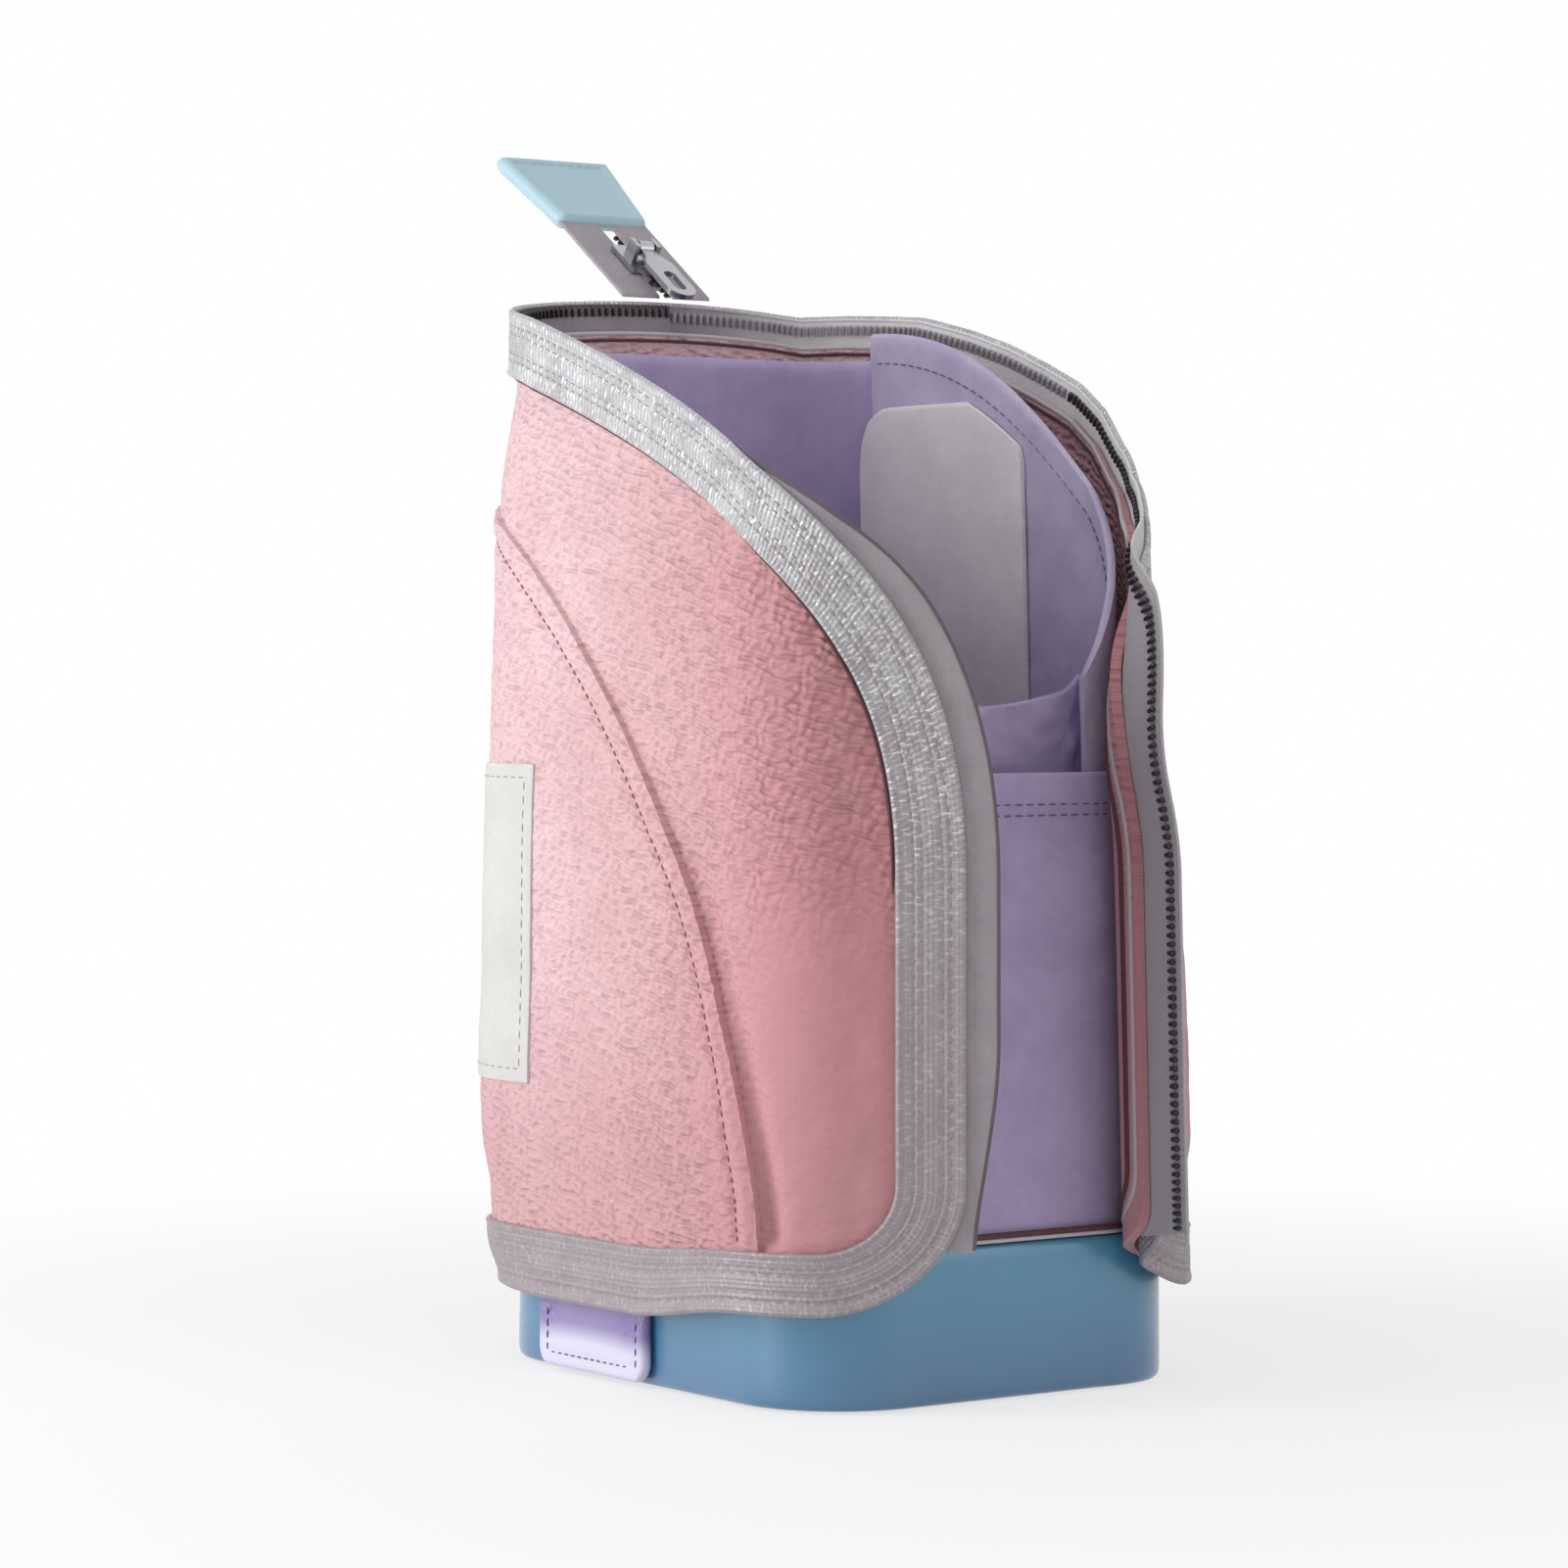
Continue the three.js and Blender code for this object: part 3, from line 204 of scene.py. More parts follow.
# %% The walk round the plan
def place(s, z, off, reference=PANEL_OUT, turn=None):
    """Points in metres for distances s, heights z and stand-offs off, all in millimetres.
    Negative s goes round the back. Without a turn the point is on the shell: there the
    corner at the open end turns less, the back's free edge flares outwards again, and both
    turns get softer towards the top."""
    s, z, off = same_shape(s, z, off)
    is_back = s < 0
    high = ramp(z, SOFTER_FROM, SOFTER_TO)
    back = TURNS[-1] - (TURNS[-1] - TOP_TURN) * high
    bend = np.where(is_back, back, TURNS[1]) if turn is None else np.full(s.shape, turn)
    spine_arc = (SPINE_RADIUS + reference) * math.pi / 2
    end_arc = (END_RADIUS + reference) * bend
    a = np.abs(s)
    u1 = np.clip(a, 0, SPINE_LINE)
    u2 = np.clip(a - SPINE_LINE, 0, spine_arc)
    u3 = np.clip(a - SPINE_LINE - spine_arc, 0, SIDE_LINE)
    u4 = np.clip(a - SPINE_LINE - spine_arc - SIDE_LINE, 0, end_arc)
    u5 = np.clip(a - SPINE_LINE - spine_arc - SIDE_LINE - end_arc, 0, None)
    h = -math.pi / 2 + (math.pi / 2) * u2 / spine_arc
    g = bend * u4 / end_arc
    x = -HALF_LENGTH + SPINE_RADIUS + np.sin(h) * SPINE_RADIUS + u3
    y = -u1 - np.cos(h) * SPINE_RADIUS
    x = x + np.sin(g) * END_RADIUS + np.cos(g) * u5
    y = y + (1 - np.cos(g)) * END_RADIUS + np.sin(g) * u5
    inwards = LEAN * z / SPINE_TOP
    px = x + np.sin(h + g) * (off - inwards)
    py = y - np.cos(h + g) * (off - inwards)
    if turn is None:
        radius = END_RADIUS + FLARE_AXIS - inwards
        ax = HALF_LENGTH - END_RADIUS + np.sin(back) * radius
        ay = -END_LINE - np.cos(back) * radius
        fold = FLAP_START + SIDE_LINE + (END_RADIUS + PANEL_OUT) * back + FOLD_SHIFT * high
        half = FOLD_HALF + FOLD_GROWTH * high
        f = np.where(is_back, (FLARE + back - TURNS[-1]) * ramp((a - fold) / half, -1, 1), 0)
        dx, dy = px - ax, py - ay
        px, py = ax + dx * np.cos(f) + dy * np.sin(f), ay - dx * np.sin(f) + dy * np.cos(f)
        out, up = back_opens(a, z)
        py = py - np.where(is_back, out, 0)
        z = z + np.where(is_back, up, 0)
        z = z + FOOT_RISE * ramp(a, RISE_FROM, RISE_TO) * ramp(z, 45, 12)
    return np.stack([px, py * np.where(is_back, -1.0, 1.0), z], -1) * MM


# Distance from the flap's start, then how far the back's rim stands outwards and upwards.
BACK_RIM = np.array([
    [-30, 0, 0], [-19, 1, 1.7], [-8, 2.5, 3], [3, 4, 4.2], [14, 5.5, 5], [25, 6.5, 5.3],
    [35, 7, 5], [46, 7, 4.6], [56, 4.5, 3.6], [66, 0.5, 1.5], [76, -2.5, 0], [85, -3, 0],
    [93, -2, 0], [101, -2, 0], [118, -3, 0],
])


def back_opens(a, z):
    """The back stands a little wider and taller than the front near its rim: millimetres
    outwards and upwards, fading to nothing below half height."""
    share = ramp(z, 95, np.maximum(np.interp(a, *RIM[:RIM_TURN].T) - 4, 125))
    out, up = (np.interp(a - FLAP_START, BACK_RIM[:, 0], BACK_RIM[:, k]) for k in (1, 2))
    return out * share, up * share


print("the back rim stands up to", BACK_RIM[:, 1].max(), "mm outwards")

# %% [markdown]
# ## The rim
#
# The webbing follows one line: a low crown over the spine, a long curve down to the
# straight edge, a round corner, and the foot back to the spine. Panels, tape, teeth and
# stitches are all this line moved inwards or outwards. The zip tape hides behind the
# webbing at the top and stands out past it along the side.

# %% The rim line
def rim_line():
    """The webbing's outer edge as (distance, height, share down the curve), from the
    middle of the spine's top to the middle of the spine's foot."""
    s = np.linspace(0, FLAP_START, 40)
    crown = np.stack([s, SPINE_TOP - SPINE_CROWN * (s / FLAP_START) ** 2, 0 * s], -1)
    t = np.linspace(0, 1, 90)[1:, None]
    shoulder, low = SPINE_TOP - SPINE_CROWN, SHELL_BOTTOM + CORNER
    curve = bezier(t, (FLAP_START, shoulder), (FLAP_START + FLAP_REACH * 0.69, shoulder - 25),
                   (FLAP_END, STRAIGHT_TOP + 58), (FLAP_END, STRAIGHT_TOP))
    side = np.array([[FLAP_END, z, 1] for z in np.linspace(STRAIGHT_TOP, low, 40)[1:]])
    a = np.linspace(0, math.pi / 2, 30)[1:]
    corner = np.stack([FLAP_END - CORNER + np.cos(a) * CORNER, low - np.sin(a) * CORNER, 1 + 0 * a], -1)
    foot = np.array([[x, SHELL_BOTTOM, 1] for x in np.linspace(FLAP_END - CORNER, 0, 90)[1:]])
    return even(np.vstack([crown, np.hstack([curve, t]), side, corner, foot]), 0.8)


RIM_LINE = rim_line()
RIM, RIM_SHARE = RIM_LINE[:, :2], RIM_LINE[:, 2]
RIM_OUT = direction(RIM)[:, ::-1] * (-1, 1)
RIM_TURN = int(np.argmax(RIM[:, 0]))
TAPE_PROUD = -0.8 + 6.6 * ramp(RIM_SHARE, 0.3, 0.7)


def branch(line, s, top):
    """Height of a rim line's top or bottom branch at distances s."""
    cut = int(np.argmax(line[:, 0]))
    return np.interp(s, *(line[:cut + 1] if top else line[cut:][::-1]).T)


def rim_index(s, top):
    """Index of the rim point at distance s, on its top or its bottom branch."""
    on_top = np.arange(len(RIM)) < RIM_TURN
    return int(np.argmin(np.abs(RIM[:, 0] - s) + (on_top != top) * 1000))


print("rim length", round(length_along(RIM)[-1]), "mm on each side")

# %% The lap seam, and tables of nearness
SEAM = smooth([[0, 168], [30, 166]] + [[FLAP_START + d, z] for d, z in (
    (-8, 160), (9.5, 148), (27, 131), (44, 111), (60, 88.5), (71.5, 62.7), (77, 42), (79, 20))])
TABLE_WIDE, TABLE_TALL = 190, 212


def table(line):
    """Nearest distance to a line, kept for every millimetre of distance and height."""
    s, z = np.meshgrid(np.arange(0.0, TABLE_WIDE), np.arange(0.0, TABLE_TALL), indexing="ij")
    best = np.full(s.shape, 1e9)
    for point in line[::2]:
        best = np.minimum(best, (s - point[0]) ** 2 + (z - point[1]) ** 2)
    return np.sqrt(best)


def look_up(values, s, z):
    """Reads such a table between its points."""
    a, b = np.clip(np.abs(s), 0, TABLE_WIDE - 1.1), np.clip(z, 0, TABLE_TALL - 1.1)
    i, j = a.astype(int), b.astype(int)
    fa, fb = a - i, b - j
    low = values[i, j] * (1 - fa) + values[i + 1, j] * fa
    high = values[i, j + 1] * (1 - fa) + values[i + 1, j + 1] * fa
    return low * (1 - fb) + high * fb


FROM_RIM, FROM_SEAM = table(RIM), table(even(SEAM, 0.7))


def from_rim(s, z):
    """Distance in millimetres from the rim."""
    return look_up(FROM_RIM, s, z)


def seam_gap(s, z):
    """Distance in millimetres from the lap seam, positive on the lapped lower panel."""
    height = np.interp(np.abs(s), *SEAM.T, right=-60.0)
    return np.where(z < height, 1, -1) * look_up(FROM_SEAM, s, z)


print("lap seam length", round(length_along(SEAM)[-1]), "mm on each side")

# %% [markdown]
# ## Cloth noise
#
# Cloth is never flat. Soft value noise, summed at a few sizes, gives the slow waves that
# light picks up. The seed is fixed, so every run gives the same cloth.

# %% Noise on a lattice
def noise(x, y, size, seed, octaves=3):
    """Smooth noise from -1 to 1 with features about `size` millimetres across.
    Each octave halves the size and the height."""
    total, weight, norm = 0.0, 1.0, 0.0
    for octave in range(octaves):
        lattice = np.random.default_rng(seed * 31 + octave).uniform(-1, 1, (256, 256))
        u, v = np.asarray(x) / size * 2**octave + 57, np.asarray(y) / size * 2**octave + 91
        i, j = np.floor(u).astype(int), np.floor(v).astype(int)
        fu, fv = u - i, v - j
        fu, fv = fu * fu * (3 - 2 * fu), fv * fv * (3 - 2 * fv)
        rows = []
        for b in (0, 1):
            one, two = (lattice[(i + a) % 256, (j + b) % 256] for a in (0, 1))
            rows.append(one * (1 - fu) + two * fu)
        total = total + weight * (rows[0] * (1 - fv) + rows[1] * fv)
        norm += weight
        weight *= 0.5
    return total / norm


print("noise at one place:", round(float(noise(5.0, 5.0, 34, 41)), 2))

# %% [markdown]
# ## How the cloth fills out
#
# A sewn shell never keeps to its plan. It is drawn in along the foot, stands fuller round
# the corners, and its padded middle swells outwards between the bound edges. A few small
# functions say how far: for the whole shell, for the pink cloth's outer face, and for the
# second layer that is lapped over it.

# %% Lift, bulge and faces of the shell
PANEL_FACE, LAP_THICK = 4.9, 1.0
BULGE = {
    1: smooth([[0, 2.0], [40, 2.7], [63, 2.9], [80, 2.3], [100, 1.4], [125, 1.0], [157, 0.8], [190, 0.3]]),
    -1: smooth([[0, 2.0], [40, 2.7], [63, 2.6], [80, 2.2], [110, 1.6], [130, 2.6], [150, 3.2], [160, 2.8],
                [170, 0.8], [190, 0.3]]),
}


def lift(s, z):
    """Stand-off added to every layer: a little at the spine's corners near the top, more at
    the back's corner, and less than nothing along the foot, where the cloth curls in."""
    a = np.abs(s)
    crown = 0.4 * hump(a, 45, 14) * ramp(z, 170, 195)
    corner = 1.8 * hump(a, 150, 14) * ramp(z, 125, 60) * (np.asarray(s) < 0)
    foot = -2.6 * ramp(z, 24, 14) * ramp(a, 75, 55)
    return crown + corner + foot


def on_shell(s, z, off):
    """Points of a layer of the shell, in metres."""
    return place(s, z, off + lift(s, z))


def bulge(s, z):
    """Swelling of the pink cloth between its bound edges."""
    a = np.abs(s)
    front, back = (np.interp(a, *BULGE[side].T) for side in (1, -1))
    back = np.where(a > 120, back * ramp(z, 135, 95) + 0.4 * (1 - ramp(z, 135, 95)), back)
    return np.where(np.asarray(s) < 0, back, front) * ramp(from_rim(s, z), 10, 38)


def waves(s, z):
    """Slow waves, with short puckers where the cloth is drawn in beside the webbing."""
    inside = from_rim(s, z)
    slow = 0.42 * noise(s, z, 34, 41, 3) + 0.16 * noise(s * 0.8, z * 1.3, 9, 43, 2)
    pucker = 0.3 * noise(s, z, 5.5, 47, 2) * hump(inside, 17, 6.0)
    return (slow + pucker) * ramp(inside, 11, 20)


def panel_face(s, z):
    """Stand-off of the pink cloth, with a trench along the lapped layer's edge."""
    gap = seam_gap(s, z)
    trench = -0.55 * hump(gap, -1.6, 1.7) * ramp(z, 190, 90)
    trench = trench - 1.5 * hump(gap, -2.8, 2.2) * ramp(z, 130, 80)
    crinkle = 0.1 * noise(s * 0.7, z * 1.5, 3.2, 45, 2)
    return PANEL_FACE + bulge(s, z) + waves(s, z) + (trench + crinkle) * ramp(from_rim(s, z), 12, 16)


GROOVE_AT = 4.7


def lap_face(s, z, edge):
    """Stand-off of the lapped layer: a soft fold along its edge, then a stitched groove.
    Edge is the distance from the fold."""
    fold = 0.5 * hump(edge, 2.0, 1.3)
    groove = -0.42 * hump(edge, GROOVE_AT, 0.7)
    after = 0.2 * hump(edge, 7.0, 1.6) * (1 + noise(s, z, 4.0, 49, 2))
    crinkle = 0.12 * noise(s * 0.7, z * 1.5, 3.2, 46, 2)
    soft = (fold + groove + after + crinkle) * ramp(from_rim(s, z), 12, 15)
    return PANEL_FACE + bulge(s, z) + waves(s, z) + LAP_THICK + soft


print("swells", round(float(bulge(np.array([63.0]), np.array([100.0]))[0]), 1), "mm at the spine's corner")

# %% [markdown]
# ## Mesh helpers
#
# Every piece here is a closed skin over a grid of points. A slab is a grid given twice, for
# its inner and outer face. A sweep carries a closed outline along a line on a wall. A row is
# one small bead repeated, for stitches and zip teeth. The maker of the mesh adds up the
# signed volume and turns the faces round when it comes out negative, so no piece can end
# inside out.

# %% From points to an object
SHARP = math.radians(50)


def signed_volume(verts, faces):
    """Volume under all faces, each seen as a fan from its first corner."""
    total = 0.0
    for part in faces:
        a = verts[part[:, 0]]
        for k in range(1, part.shape[1] - 1):
            total += float((a * np.cross(verts[part[:, k]], verts[part[:, k + 1]])).sum()) / 6
    return total


def make_object(name, verts, faces, body, uv, finishes=None):
    """A closed mesh that rides on a body. Faces are arrays of quads or triangles, and
    finishes gives each array's material number. UVs are cloth coordinates in metres."""
    verts = np.asarray(verts, float).reshape(-1, 3)
    if signed_volume(verts, faces) < 0:
        faces = [part[:, ::-1] for part in faces]
    loops = np.concatenate([part.ravel() for part in faces])
    sizes = np.concatenate([np.full(len(part), part.shape[1]) for part in faces])
    mesh = bpy.data.meshes.new(name)
    mesh.vertices.add(len(verts))
    mesh.vertices.foreach_set("co", verts.ravel())
    mesh.loops.add(len(loops))
    mesh.loops.foreach_set("vertex_index", loops)
    mesh.polygons.add(len(sizes))
    mesh.polygons.foreach_set("loop_start", np.concatenate([[0], np.cumsum(sizes)[:-1]]))
    if finishes:
        used = np.concatenate([np.full(len(part), k) for part, k in zip(faces, finishes)])
        mesh.polygons.foreach_set("material_index", used)
    mesh.polygons.foreach_set("use_smooth", np.full(len(sizes), True))
    layer = mesh.uv_layers.new(name="cloth")
    layer.data.foreach_set("uv", np.asarray(uv, float).reshape(-1, 2)[loops].ravel())
    mesh.update(calc_edges=True)
    mesh.set_sharp_from_angle(angle=SHARP)
    obj = bpy.data.objects.new(name, mesh)
    bpy.context.scene.collection.objects.link(obj)
    if body:
        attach(obj, body)
    return obj


def dress(obj, *mats):
    """Gives a piece its materials, in slot order."""
    obj.data.materials.clear()
    for material in mats:
        obj.data.materials.append(material)
    return obj


def quads(index, wrap_rows=False, wrap_columns=False):
    """Faces between the neighbours of a grid of vertex numbers."""
    below = np.roll(index, -1, 0)
    faces = np.stack([index, below, np.roll(below, -1, 1), np.roll(index, -1, 1)], -1)
    faces = faces if wrap_rows else faces[:-1]
    faces = faces if wrap_columns else faces[:, :-1]
    return faces.reshape(-1, 4)


print("edges sharper than", round(math.degrees(SHARP)), "degrees stay sharp")

# %% Slabs
def slab(name, inner, outer, body, uv, linings=False):
    """Closed solid between two grids of points. With linings, the outer face and the border
    have the first material and the inner face the second."""
    n, m = outer.shape[:2]
    top = np.arange(n * m).reshape(n, m)
    low = top + n * m
    first = np.concatenate([top[:, 0], top[-1, 1:], top[-2::-1, -1], top[0, -2:0:-1]])
    border = np.stack([first, first + n * m, np.roll(first, -1) + n * m, np.roll(first, -1)], -1)
    faces = [quads(top), quads(low)[:, ::-1], border]
    verts = np.concatenate([outer.reshape(-1, 3), inner.reshape(-1, 3)])
    uvs = np.concatenate([np.reshape(uv, (-1, 2))] * 2)
    return make_object(name, verts, faces, body, uvs, [0, 1 if linings else 0, 0])


def as_cloth(obj):
    """Returns the piece as it is."""
    return obj


# %% Sweeps
def lid(ring, flip=False):
    """Closes an outline of an even number of points by strips from side to side, so that a
    bent band's end stays inside the band."""
    near, far = ring[:len(ring) // 2], ring[::-1][:len(ring) // 2]
    strips = np.stack([near[:-1], near[1:], far[1:], far[:-1]], -1)
    return strips[:, ::-1] if flip else strips


def sweep(name, line, outs, section, body, side, wall=on_shell):
    """Carries a closed section along a line on a wall. The line is (distance, height), outs
    its outward direction, and the section lists (along outs, stand-off) pairs; a section
    with three axes changes along the line. Lids close both ends."""
    section = np.broadcast_to(section, (len(line),) + np.shape(section)[-2:])
    n, k = section.shape[:2]
    flat = line[:, None, :] + outs[:, None, :] * section[:, :, :1]
    points = wall(flat[..., 0] * side, flat[..., 1], section[..., 1])
    index = np.arange(n * k).reshape(n, k)
    along = np.broadcast_to(length_along(line)[:, None], (n, k))
    faces = [quads(index, False, True), lid(index[0]), lid(index[-1], True)]
    return make_object(name, points, faces, body, to_cloth(along, section[..., 0]))


def round_section(across, off, radius):
    """Outline of a cord; its middle may be given for each point of the line."""
    across, off = same_shape(across, off)
    a = np.linspace(0, 2 * math.pi, 9)[:-1]
    return np.stack([across[..., None] + np.cos(a) * radius, off[..., None] + np.sin(a) * radius], -1)


def band_section(low, high, inner, outer, relief):
    """Outline of a flat band with round edges. Relief gives the height added to its outer
    face at distances from the outer edge."""
    middle, half = (inner + outer) / 2, (outer - inner) / 2
    over = np.linspace(low, high, 43)
    swell = half * soft_edge(np.minimum(over - low, high - over), half, 0.02)
    return np.vstack([np.stack([over, middle + swell + relief(over)], -1),
                      np.stack([over, middle - swell], -1)[::-1]])


# %% Rows of small beads
BEAD_SIDES = 6


def bead_row(name, spots, axes, profile, off, body, side, wall=on_shell):
    """One closed bead at each spot (distance, height), its length along its axis. The
    profile lists (place along the axis, half width, half height, rise). The stand-off may
    differ from bead to bead."""
    profile = np.asarray(profile, float)
    axes = axes / np.linalg.norm(axes, axis=1, keepdims=True)
    cross = np.stack([-axes[:, 1], axes[:, 0]], -1)
    a = np.linspace(0, 2 * math.pi, BEAD_SIDES + 1)[:-1]
    wide = np.cos(a) * profile[:, 1:2]
    tall = np.sin(a) * profile[:, 2:3] + profile[:, 3:4]
    flat = spots[:, None, None] + axes[:, None, None] * profile[:, 0][None, :, None, None]
    flat = flat + cross[:, None, None] * wide[None, :, :, None]
    points = wall(flat[..., 0] * side, flat[..., 1], np.reshape(off, (-1, 1, 1)) + tall)
    one = np.arange(tall.size).reshape(tall.shape)
    start = (np.arange(len(spots)) * tall.size)[:, None, None]
    ends = np.stack([one[0, [0, 1, 2, 3]], one[0, [0, 3, 4, 5]],
                     one[-1, [3, 2, 1, 0]], one[-1, [5, 4, 3, 0]]])
    faces = [(start + part[None]).reshape(-1, 4) for part in (quads(one, False, True), ends)]
    return make_object(name, points, faces, body, np.zeros((points.size // 3, 2)))


# A stitch dips into the cloth at both ends: (place, half width, rise) for length and radius 1.
STITCH = np.array([(-0.5, 0.15, -0.5), (-0.36, 0.85, 0.1), (0.0, 1.0, 0.32), (0.36, 0.85, 0.1),
                   (0.5, 0.15, -0.5)])


def stitches(name, line, off, thread, body, side=1, pitch=2.6, length=1.8, radius=0.16, wall=on_shell):
    """A row of sewn stitches along a line of (distance, height)."""
    run = length_along(line)
    at = (np.arange(max(1, int(run[-1] / pitch))) + 0.5) * pitch
    spots, ahead, behind = (read_line(line, run, at + d) for d in (0, 0.3, -0.3))
    height = off(spots[:, 0] * side, spots[:, 1]) if callable(off) else off
    profile = STITCH[:, [0, 1, 1, 2]] * (length, radius, radius, radius)
    row = bead_row(name, spots, ahead - behind, profile, height, body, side, wall)
    return dress(row, thread)


print("mesh helpers ready")

# %% [markdown]
# ## Materials
#
# Colours are written as they would be read off a screen and turned into light values by
# one function. Cloth patterns use the cloth coordinates, in metres, so their threads keep
# their size on every piece. One small class adds nodes, and a second one starts a material
# with them. Each material is a short function named for what the real one is.

# %% Node helpers
def colour(code):
    """Screen colour code to linear light."""
    value = [((code >> shift) & 255) / 255 for shift in (16, 8, 0)]
    return [c / 12.92 if c <= 0.04045 else ((c + 0.055) / 1.055) ** 2.4 for c in value] + [1.0]


def per_mm(size):
    """Texture scale whose features are about `size` millimetres across."""
    return 1000.0 / size


class Nodes:
    """Adds nodes to a material or a world, which starts empty."""

    def __init__(self, owner):
        owner.use_nodes = True
        self.tree = owner.node_tree
        self.tree.nodes.clear()

    def node(self, kind, inputs=(), **settings):
        """One node with its settings and its inputs, given as values or as outputs."""
        made = self.tree.nodes.new(kind)
        for key, value in settings.items():
            setattr(made, key, value)
        for key, value in dict(inputs).items():
            if isinstance(value, bpy.types.NodeSocket):
                self.tree.links.new(value, made.inputs[key])
            else:
                made.inputs[key].default_value = value
        return made

    def maths(self, operation, a, b=0.0, clamp=False):
        """One step of arithmetic."""
        return self.node("ShaderNodeMath", {0: a, 1: b}, operation=operation, use_clamp=clamp).outputs[0]

    def plus(self, a, b, clamp=False):
        """Sum of two values."""
        return self.maths("ADD", a, b, clamp)

    def minus(self, a, b, clamp=False):
        """Difference of two values."""
        return self.maths("SUBTRACT", a, b, clamp)

    def times(self, a, b):
        """Product of two values."""
        return self.maths("MULTIPLY", a, b)

    def mix(self, share, a, b):
        """Colour between a and b."""
        return self.node("ShaderNodeMix", {0: share, 6: a, 7: b}, data_type="RGBA").outputs[2]

    def span(self, value, low, high, start=0.0, end=1.0, smoothly=False):
        """Value taken from low..high to start..end, clamped."""
        kind = "SMOOTHSTEP" if smoothly else "LINEAR"
        inputs = {"Value": value, "From Min": low, "From Max": high, "To Min": start, "To Max": end}
        return self.node("ShaderNodeMapRange", inputs, interpolation_type=kind).outputs[0]

    def cloth(self):
        """The piece's own cloth coordinates, in metres."""
        return self.node("ShaderNodeUVMap", uv_map="cloth").outputs[0]

    def spot(self):
        """Object coordinates, in metres."""
        return self.node("ShaderNodeTexCoord").outputs["Object"]

    def split(self, vector):
        """The three numbers of a vector."""
        return self.node("ShaderNodeSeparateXYZ", {0: vector}).outputs

    def join(self, x, y):
        """A vector from two numbers."""
        return self.node("ShaderNodeCombineXYZ", {0: x, 1: y}).outputs[0]

    def noise(self, where, size, detail=2.0, roughness=0.5):
        """Soft noise with features of a size in millimetres."""
        inputs = {"Vector": where, "Scale": per_mm(size), "Detail": detail, "Roughness": roughness}
        return self.node("ShaderNodeTexNoise", inputs).outputs["Fac"]

    def wave(self, value, pitch):
        """Sine with a pitch in millimetres."""
        return self.maths("SINE", self.times(value, 2 * math.pi * per_mm(pitch)))


class Maker(Nodes):
    """One new material with its shader."""

    def __init__(self, name, roughness, **sockets):
        self.material = bpy.data.materials.new(name)
        super().__init__(self.material)
        self.output = self.node("ShaderNodeOutputMaterial")
        self.shader = self.node("ShaderNodeBsdfPrincipled", {"Roughness": roughness, **sockets})
        self.tree.links.new(self.shader.outputs[0], self.output.inputs["Surface"])

    def paint(self, base):
        """Uses a colour as the base colour."""
        self.tree.links.new(base, self.shader.inputs["Base Color"])

    def rough(self, value):
        """Uses a value as the roughness."""
        self.tree.links.new(value, self.shader.inputs["Roughness"])

    def bump(self, *layers):
        """Height layers as (height, distance in millimetres), the finest first."""
        normal = None
        for height, distance in layers:
            inputs = {"Height": height, "Strength": 1.0, "Distance": distance * MM}
            if normal is not None:
                inputs["Normal"] = normal
            normal = self.node("ShaderNodeBump", inputs).outputs[0]
        self.tree.links.new(normal, self.shader.inputs["Normal"])

print("a thread of 0.5 mm has texture scale", per_mm(0.5))


# %% Woven cloths
def woven(name, light, dark, roughness, thread, depth, patch=14.0, sheen=0.15, lumps=0.0, lump_size=4.0,
          below=None, start=None):
    """Plain-weave polyester: threads of a pitch in millimetres cross over and under, which
    gives a matt face with a faint sheen. Slow patches stand for handling and folds.
    below is (colour, low, high): painted shade of that colour under a height in metres, and
    start paints shade the same way near the middle plane, fading outwards."""
    m = Maker(name, roughness, **{"Sheen Weight": sheen, "Sheen Roughness": 0.5})
    where = m.cloth()
    x, y, _ = m.split(where)
    slow = m.span(m.noise(where, patch, 3.0, 0.6), 0.35, 0.65, 0.0, 0.6)
    fine = m.times(m.minus(m.noise(where, lump_size * 0.6), 0.5), 0.6)
    dye_and_shade = m.mix(m.plus(slow, fine, clamp=True), colour(light), colour(dark))
    # Painted shade: below darkens the cloth under a height, start near the middle plane.
    for way, painted_shade in ((2, below), (1, start)):
        if painted_shade:
            share = m.span(m.split(m.spot())[way], painted_shade[1], painted_shade[2], 0.0, 1.0, True)
            dye_and_shade = m.mix(share, colour(painted_shade[0]), dye_and_shade)
    m.paint(dye_and_shade)
    weave = m.times(m.wave(x, thread), m.wave(y, thread))
    layers = [(weave, depth)]
    if lumps:
        layers.append((m.noise(where, lump_size), lumps))
    m.bump(*layers)
    return m.material


# The lining is painted darker under a height: painted shade inside the shell.
LINING = woven("shell_lining_taffeta", 0xF0DEE5, 0xDCC6CF, 0.6, 0.4, 0.03, lumps=0.1, lump_size=8,
               below=(0x80666F, 0.085, 0.15))
LAVENDER = woven("lavender_taffeta", 0xC9BEDA, 0xAFA2C6, 0.5, 0.4, 0.03, lumps=0.3, lump_size=7)
PURPLE = woven("purple_lining_cloth", 0xC2B1D9, 0xAE9DC6, 0.75, 0.45, 0.04, lumps=0.3, lump_size=6)
GREY = woven("grey_pocket_cloth", 0xF4ECEE, 0xE4DBDE, 0.8, 0.5, 0.04, lumps=0.25, lump_size=5)
LABEL = woven("label_cotton_tape", 0xD8D7D4, 0xCCCAC5, 0.85, 0.55, 0.05, lumps=0.1, lump_size=4)
TAPE = woven("zip_tape_polyester", 0xAFA7AD, 0xA0989E, 0.8, 0.62, 0.05, patch=9)
